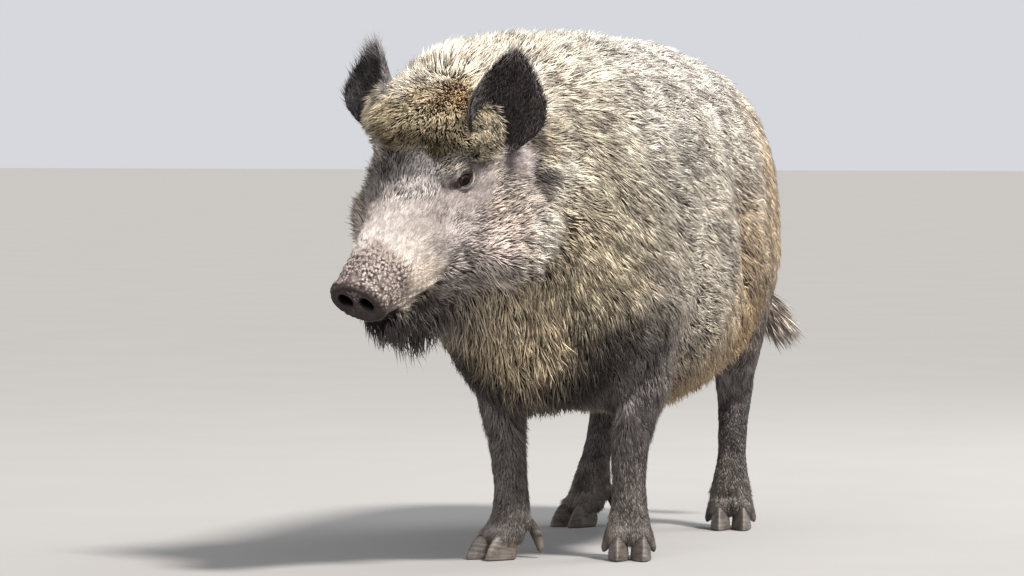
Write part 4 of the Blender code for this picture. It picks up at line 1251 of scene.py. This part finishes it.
def dust_group():
    """Pale dry dust that thins out upwards in patches: its share over the surface."""
    tree, n, given, out = new_group("dry_dust", [("Top", "Float"), ("Fade", "Float"), ("Amount", "Float")],
                                    [("Share", "Float")])
    where = n.where()
    height = n.feed(n.add("SeparateXYZ"), Vector=where)
    low = n.maths("DIVIDE", n.maths("SUBTRACT", given.outputs["Top"], height.outputs["Z"]), given.outputs["Fade"],
                  clamp=True)
    patches = n.spread(n.noise(where, 38.0, 4.0, 0.65), 0.38, 0.68)
    share = n.maths("MULTIPLY", n.maths("MULTIPLY", low, patches), given.outputs["Amount"])
    tree.links.new(share, out.inputs["Share"])
    return tree


def grain_group():
    """Leathery grain: small cells with creases between them, and larger soft lumps."""
    tree, n, given, out = new_group("hide_grain", [("Scale", "Float"), ("Amount", "Float")],
                                    [("Height", "Float"), ("Crease", "Float")])
    where = n.where()
    cells = n.feed(n.add("TexVoronoi", feature="DISTANCE_TO_EDGE"), Vector=where, Scale=given.outputs["Scale"])
    crease = n.spread(cells.outputs["Distance"], 0.0, 0.16)
    lumps = n.noise(where, 90.0, 4.0)
    height = n.maths("MULTIPLY", n.maths("ADD", crease, lumps), given.outputs["Amount"])
    tree.links.new(height, out.inputs["Height"])
    tree.links.new(crease, out.inputs["Crease"])
    return tree


def finish_of(name):
    """A new material, its nodes and its shader."""
    made = bpy.data.materials.new(name)
    made.use_nodes = True
    return made, Nodes(made.node_tree), made.node_tree.nodes["Principled BSDF"]


def hair_finish(name, groups, rough, dust_top, dust_amount):
    """Tufts: the coat's own colours, streaked, with dust on the lowest."""
    made, n, shader = finish_of(name)
    colour = n.attribute("coat_colour", "Color")
    strand = n.add("UVMap", uv_map="strand").outputs[0]
    streaks = n.group(groups["streaks"], Colour=colour, Where=strand, Strength=0.9)
    dust = n.group(groups["dust"], Top=dust_top, Fade=dust_top * 0.9, Amount=dust_amount)
    n.feed(shader, Base_Color=n.mix(dust.outputs[0], streaks.outputs["Colour"], DUST), Roughness=rough,
           Specular_IOR_Level=0.30, Normal=n.bump(0.25, 0.0004, streaks.outputs["Height"]))
    return made


def skin_finish(groups):
    """The skin: undercoat where the hair is long, mottled hide on the muzzle and round the eyes, dusty feet."""
    made, n, shader = finish_of("boar_skin")
    hide, bare, crusty = n.attribute("hide_colour", "Color"), n.attribute("bare"), n.attribute("crust")
    where = n.where()
    mottle = n.spread(n.noise(where, 70.0, 5.0, 0.7), 0.32, 0.68)
    mottled = n.mix(mottle, n.mix(0.55, hide, (0.05, 0.035, 0.03, 1)), n.mix(0.30, hide, (0.72, 0.60, 0.55, 1)))
    bared = n.mix(n.maths("MULTIPLY", bare, 0.55), hide, mottled)
    pits = n.feed(n.add("TexVoronoi"), Vector=where, Scale=210.0)
    grains = n.spread(pits.outputs["Distance"], 0.62, 0.20)
    mud = n.mix(grains, (0.030, 0.020, 0.018, 1), (0.50, 0.42, 0.39, 1))
    patches = n.maths("MULTIPLY", crusty, n.spread(n.noise(where, 55.0, 4.0, 0.7), 0.34, 0.58))
    coloured = n.mix(patches, bared, mud)
    dust = n.group(groups["dust"], Top=0.20, Fade=0.18, Amount=0.5)
    coloured = n.mix(dust.outputs[0], coloured, DUST)
    grain = n.group(groups["grain"], Scale=1050.0, Amount=0.35)
    lumps = n.maths("MULTIPLY", n.maths("MULTIPLY", grains, patches), 2.2)
    height = n.maths("ADD", n.maths("MULTIPLY", grain.outputs["Height"], bare), lumps)
    n.feed(shader, Base_Color=coloured, Roughness=n.maths("MULTIPLY_ADD", patches, 0.25, 0.60),
           Specular_IOR_Level=n.maths("MULTIPLY_ADD", bare, 0.26, 0.06), Normal=n.bump(0.6, 0.0009, height))
    return made


def eye_finish():
    """A dark red-brown iris round a wide pupil, a dark eyeball beyond it, and a wet surface."""
    made, n, shader = finish_of("boar_eye")
    off = n.attribute("off_axis")
    where = n.where()
    ragged = n.maths("MULTIPLY_ADD", n.noise(where, 900.0, 3.0), 4.0, off)
    rays = n.mix(n.noise(where, 1400.0, 4.0), (0.014, 0.006, 0.005, 1), (0.062, 0.024, 0.019, 1))
    iris = n.mix(n.spread(ragged, 38.0, 50.0), rays, (0.012, 0.007, 0.006, 1))
    ball = n.mix(n.spread(ragged, 56.0, 66.0), iris, (0.045, 0.030, 0.028, 1))
    whole = n.mix(n.spread(ragged, 26.0, 33.0), (0.002, 0.0015, 0.0015, 1), ball)
    n.feed(shader, Base_Color=whole, Roughness=0.07, Specular_IOR_Level=0.05, Coat_Weight=0.20, Coat_Roughness=0.02)
    return made


def lid_finish(groups):
    """The lids' margin: bare dark skin, a little wet."""
    made, n, shader = finish_of("lid_margin")
    colour = n.mix(n.noise(n.where(), 400.0), (0.014, 0.009, 0.008, 1), (0.060, 0.038, 0.034, 1))
    grain = n.group(groups["grain"], Scale=900.0, Amount=0.6)
    n.feed(shader, Base_Color=colour, Roughness=0.34, Normal=n.bump(0.2, 0.0003, grain.outputs["Height"]))
    return made


def horn_finish(groups):
    """Hooves: dark grown rings and dry mud."""
    made, n, shader = finish_of("hoof_horn")
    rings = n.feed(n.add("Mapping"), Vector=n.where(), Scale=(30.0, 30.0, 420.0))
    bands = n.noise(rings.outputs[0], 1.0, 3.0)
    colour = n.mix(n.spread(bands, 0.35, 0.65), (0.012, 0.009, 0.008, 1), (0.070, 0.052, 0.042, 1))
    dust = n.group(groups["dust"], Top=0.06, Fade=0.05, Amount=0.7)
    colour = n.mix(dust.outputs[0], colour, (0.17, 0.148, 0.13, 1))
    n.feed(shader, Base_Color=colour, Roughness=n.maths("MULTIPLY_ADD", bands, 0.3, 0.40),
           Normal=n.bump(0.5, 0.0006, bands))
    return made


# ---------------------------------------------------------------- stage


def make_stage():
    """A plain pale floor, soft studio lights, and the camera."""
    corners = 60.0 * np.array(((-1, -1, 0), (1, -1, 0), (1, 1, 0), (-1, 1, 0)))
    mesh = mesh_of("floor", corners, np.arange(4), [4])
    floor = object_of("floor", mesh)
    made, n, shader = finish_of("pale_floor")
    colour = n.mix(n.noise(n.where(), 3.0), (0.24, 0.235, 0.23, 1), (0.26, 0.255, 0.25, 1))
    n.feed(shader, Base_Color=colour, Roughness=0.9, Specular_IOR_Level=0.1)
    mesh.materials.append(made)
    world = bpy.data.worlds.new("studio")
    bpy.context.scene.world = world
    world.use_nodes = True
    sky = world.node_tree.nodes["Background"]
    sky.inputs["Color"].default_value = (0.86, 0.88, 0.92, 1)
    sky.inputs["Strength"].default_value = 0.78
    sun = object_of("soft_sun", bpy.data.lights.new("soft_sun", "SUN"))
    sun.data.energy, sun.data.angle, sun.data.color = 6.6, math.radians(10), (1.0, 0.955, 0.89)
    aim_at(sun, np.array((-0.60, 0.26, -0.88)))
    for name, place, aim, power, size, colour in (
        ("face_light", (-0.4, -4.2, 2.2), (-0.1, -0.4, 0.5), 110, 2.2, (1.0, 0.98, 0.96)),
        ("back_light", (1.8, 2.4, 3.0), (0, 0.2, 0.6), 120, 1.8, (0.97, 0.98, 1.0)),
    ):
        data = bpy.data.lights.new(name, "AREA")
        data.energy, data.size, data.color = power, size, colour
        lamp = object_of(name, data)
        lamp.location = place
        aim_at(lamp, np.array(aim, float) - np.array(place, float))
    camera = object_of("camera", bpy.data.cameras.new("camera"))
    turn, downwards, distance, height = math.radians(17.0), math.radians(1.88), 8.0, 0.6875
    aim = np.array((-0.065, -0.023)) + SHIFT[:2]
    camera.location = (aim[0] + math.sin(turn) * distance, aim[1] - math.cos(turn) * distance, height)
    camera.rotation_euler = (math.pi / 2 - downwards, 0, turn)
    camera.data.lens = 180
    camera.data.sensor_width = 36
    camera.data.clip_end = 200
    bpy.context.scene.camera = camera
    bpy.context.scene.view_settings.view_transform = "Standard"


def aim_at(lamp, way):
    """Points a lamp along a direction."""
    lamp.rotation_mode = "QUATERNION"
    lamp.rotation_quaternion = Vector(way.tolist()).to_track_quat("-Z", "Y")


# ---------------------------------------------------------------- the whole boar


def colour_skin(mesh, body_count):
    """Writes the hide's colour, its bareness and its crust; the first points are the body's, the rest ears and tail.

    The disc and the lids are dark, with a pale fold below the eye; painted shade darkens the nostrils' holes almost to
    black and a band in the fold above the eye.
    """
    points = points_of(mesh)
    field = coat_at(points)
    local = to_head(points)
    behind, across, up = local.T
    bare = ramp(field["length"], 0.020, 0.008) * (points[:, 2] > 0.2)
    hide = field["root"] * (0.45 + 0.20 * bare[:, None])
    on_disc = ramp(behind, 0.012, 0.004) * (np.abs(across) < 0.07) * (np.abs(up) < 0.06)
    hide = tinted(hide, (0.016, 0.011, 0.010), on_disc)
    smooth = np.zeros(len(points))
    for name, side in SIDES.items():
        # Painted shade: the skin inside each nostril's hole is darkened almost to black.
        deep = np.linalg.norm((local - (0.014, side * NOSTRIL[0], NOSTRIL[1])) * (0.5, 1, 1), axis=1)
        hide = hide * (1 - 0.95 * ramp(deep, 0.0165, 0.0120))[:, None]
        smooth = np.maximum(smooth, ramp(deep, 0.0170, 0.0125))
        u, v, w = at_eye(local, side).T
        share = eye_share(u, v)
        dark = ramp(share, 1.75, 1.05) * (w > -0.01) * (np.hypot(u, v) < 0.03)
        # Painted shade: a dark band in the fold above the eye, under the brow.
        dark = np.maximum(dark, 0.9 * hump(share, 1.9, 0.22) * ramp(v, 0.002, 0.008) * (w > -0.01))
        hide = tinted(hide, (0.030, 0.022, 0.022), dark)
        lower = hump(share, 1.34, 0.20) * ramp(-v, 0.000, 0.004) * ramp(u, 0.020, 0.008) * (w > -0.01)
        hide = tinted(hide, (0.60, 0.52, 0.50), lower)
        bare = bare * (1 - 0.9 * np.maximum(dark, lower))
        length, _, point, _ = EARS[name]
        point = unit(on_side(point, side))
        offset = local - on_side(EAR_PLACE, side)
        t = offset @ point / length
        ear = (t > -0.02) * (np.linalg.norm(offset - (offset @ point)[:, None] * point, axis=1) < 0.07)
        ear = ear * ramp(t, 0.02, 0.10) * (np.arange(len(points)) >= body_count)
        hide = tinted(hide, (0.016, 0.013, 0.013), ear)
        bare = bare * (1 - ear) + 0.4 * ear
    crust = ramp(behind, 0.100, 0.060) * ramp(up, -0.035, 0.010) * (np.abs(across) < 0.09)
    crust = crust * (behind > 0.001) * ramp(field["length"], 0.016, 0.009)
    put_colour(mesh, "hide_colour", np.clip(hide, 0, 1))
    put_number(mesh, "bare", bare * (1 - 0.75 * on_disc) * (1 - smooth))
    put_number(mesh, "crust", crust * (1 - 0.7 * on_disc) * (1 - smooth))


make_stage()
groups = {"streaks": streak_group(), "dust": dust_group(), "grain": grain_group()}
finish = {
    "coat": hair_finish("coat_hair", groups, 0.50, 0.14, 0.3),
    "face": hair_finish("face_hair", groups, 0.55, 0.14, 0.2),
    "shank": hair_finish("shank_hair", groups, 0.45, 0.24, 0.75),
    "eye": eye_finish(),
    "lid": lid_finish(groups),
    "horn": horn_finish(groups),
}
skin, body_mesh, ear_shapes, tail_shape = make_skin()
colour_skin(skin.data, len(body_mesh.vertices))
skin.data.materials.clear()
skin.data.materials.append(skin_finish(groups))
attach(skin, "root")
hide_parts(*FLESH)
make_coat(body_mesh, finish)
make_ear_coat(ear_shapes, finish)
make_tail_coat(tail_shape, finish)
for label, way in SIDES.items():
    make_eye(label, way, finish)
    make_lid_rim(label, way, finish)
for foot_name in FEET:
    for toe, way in SIDES.items():
        make_hoof(foot_name, toe, way, finish)
        make_dewclaw(foot_name, toe, way, finish)
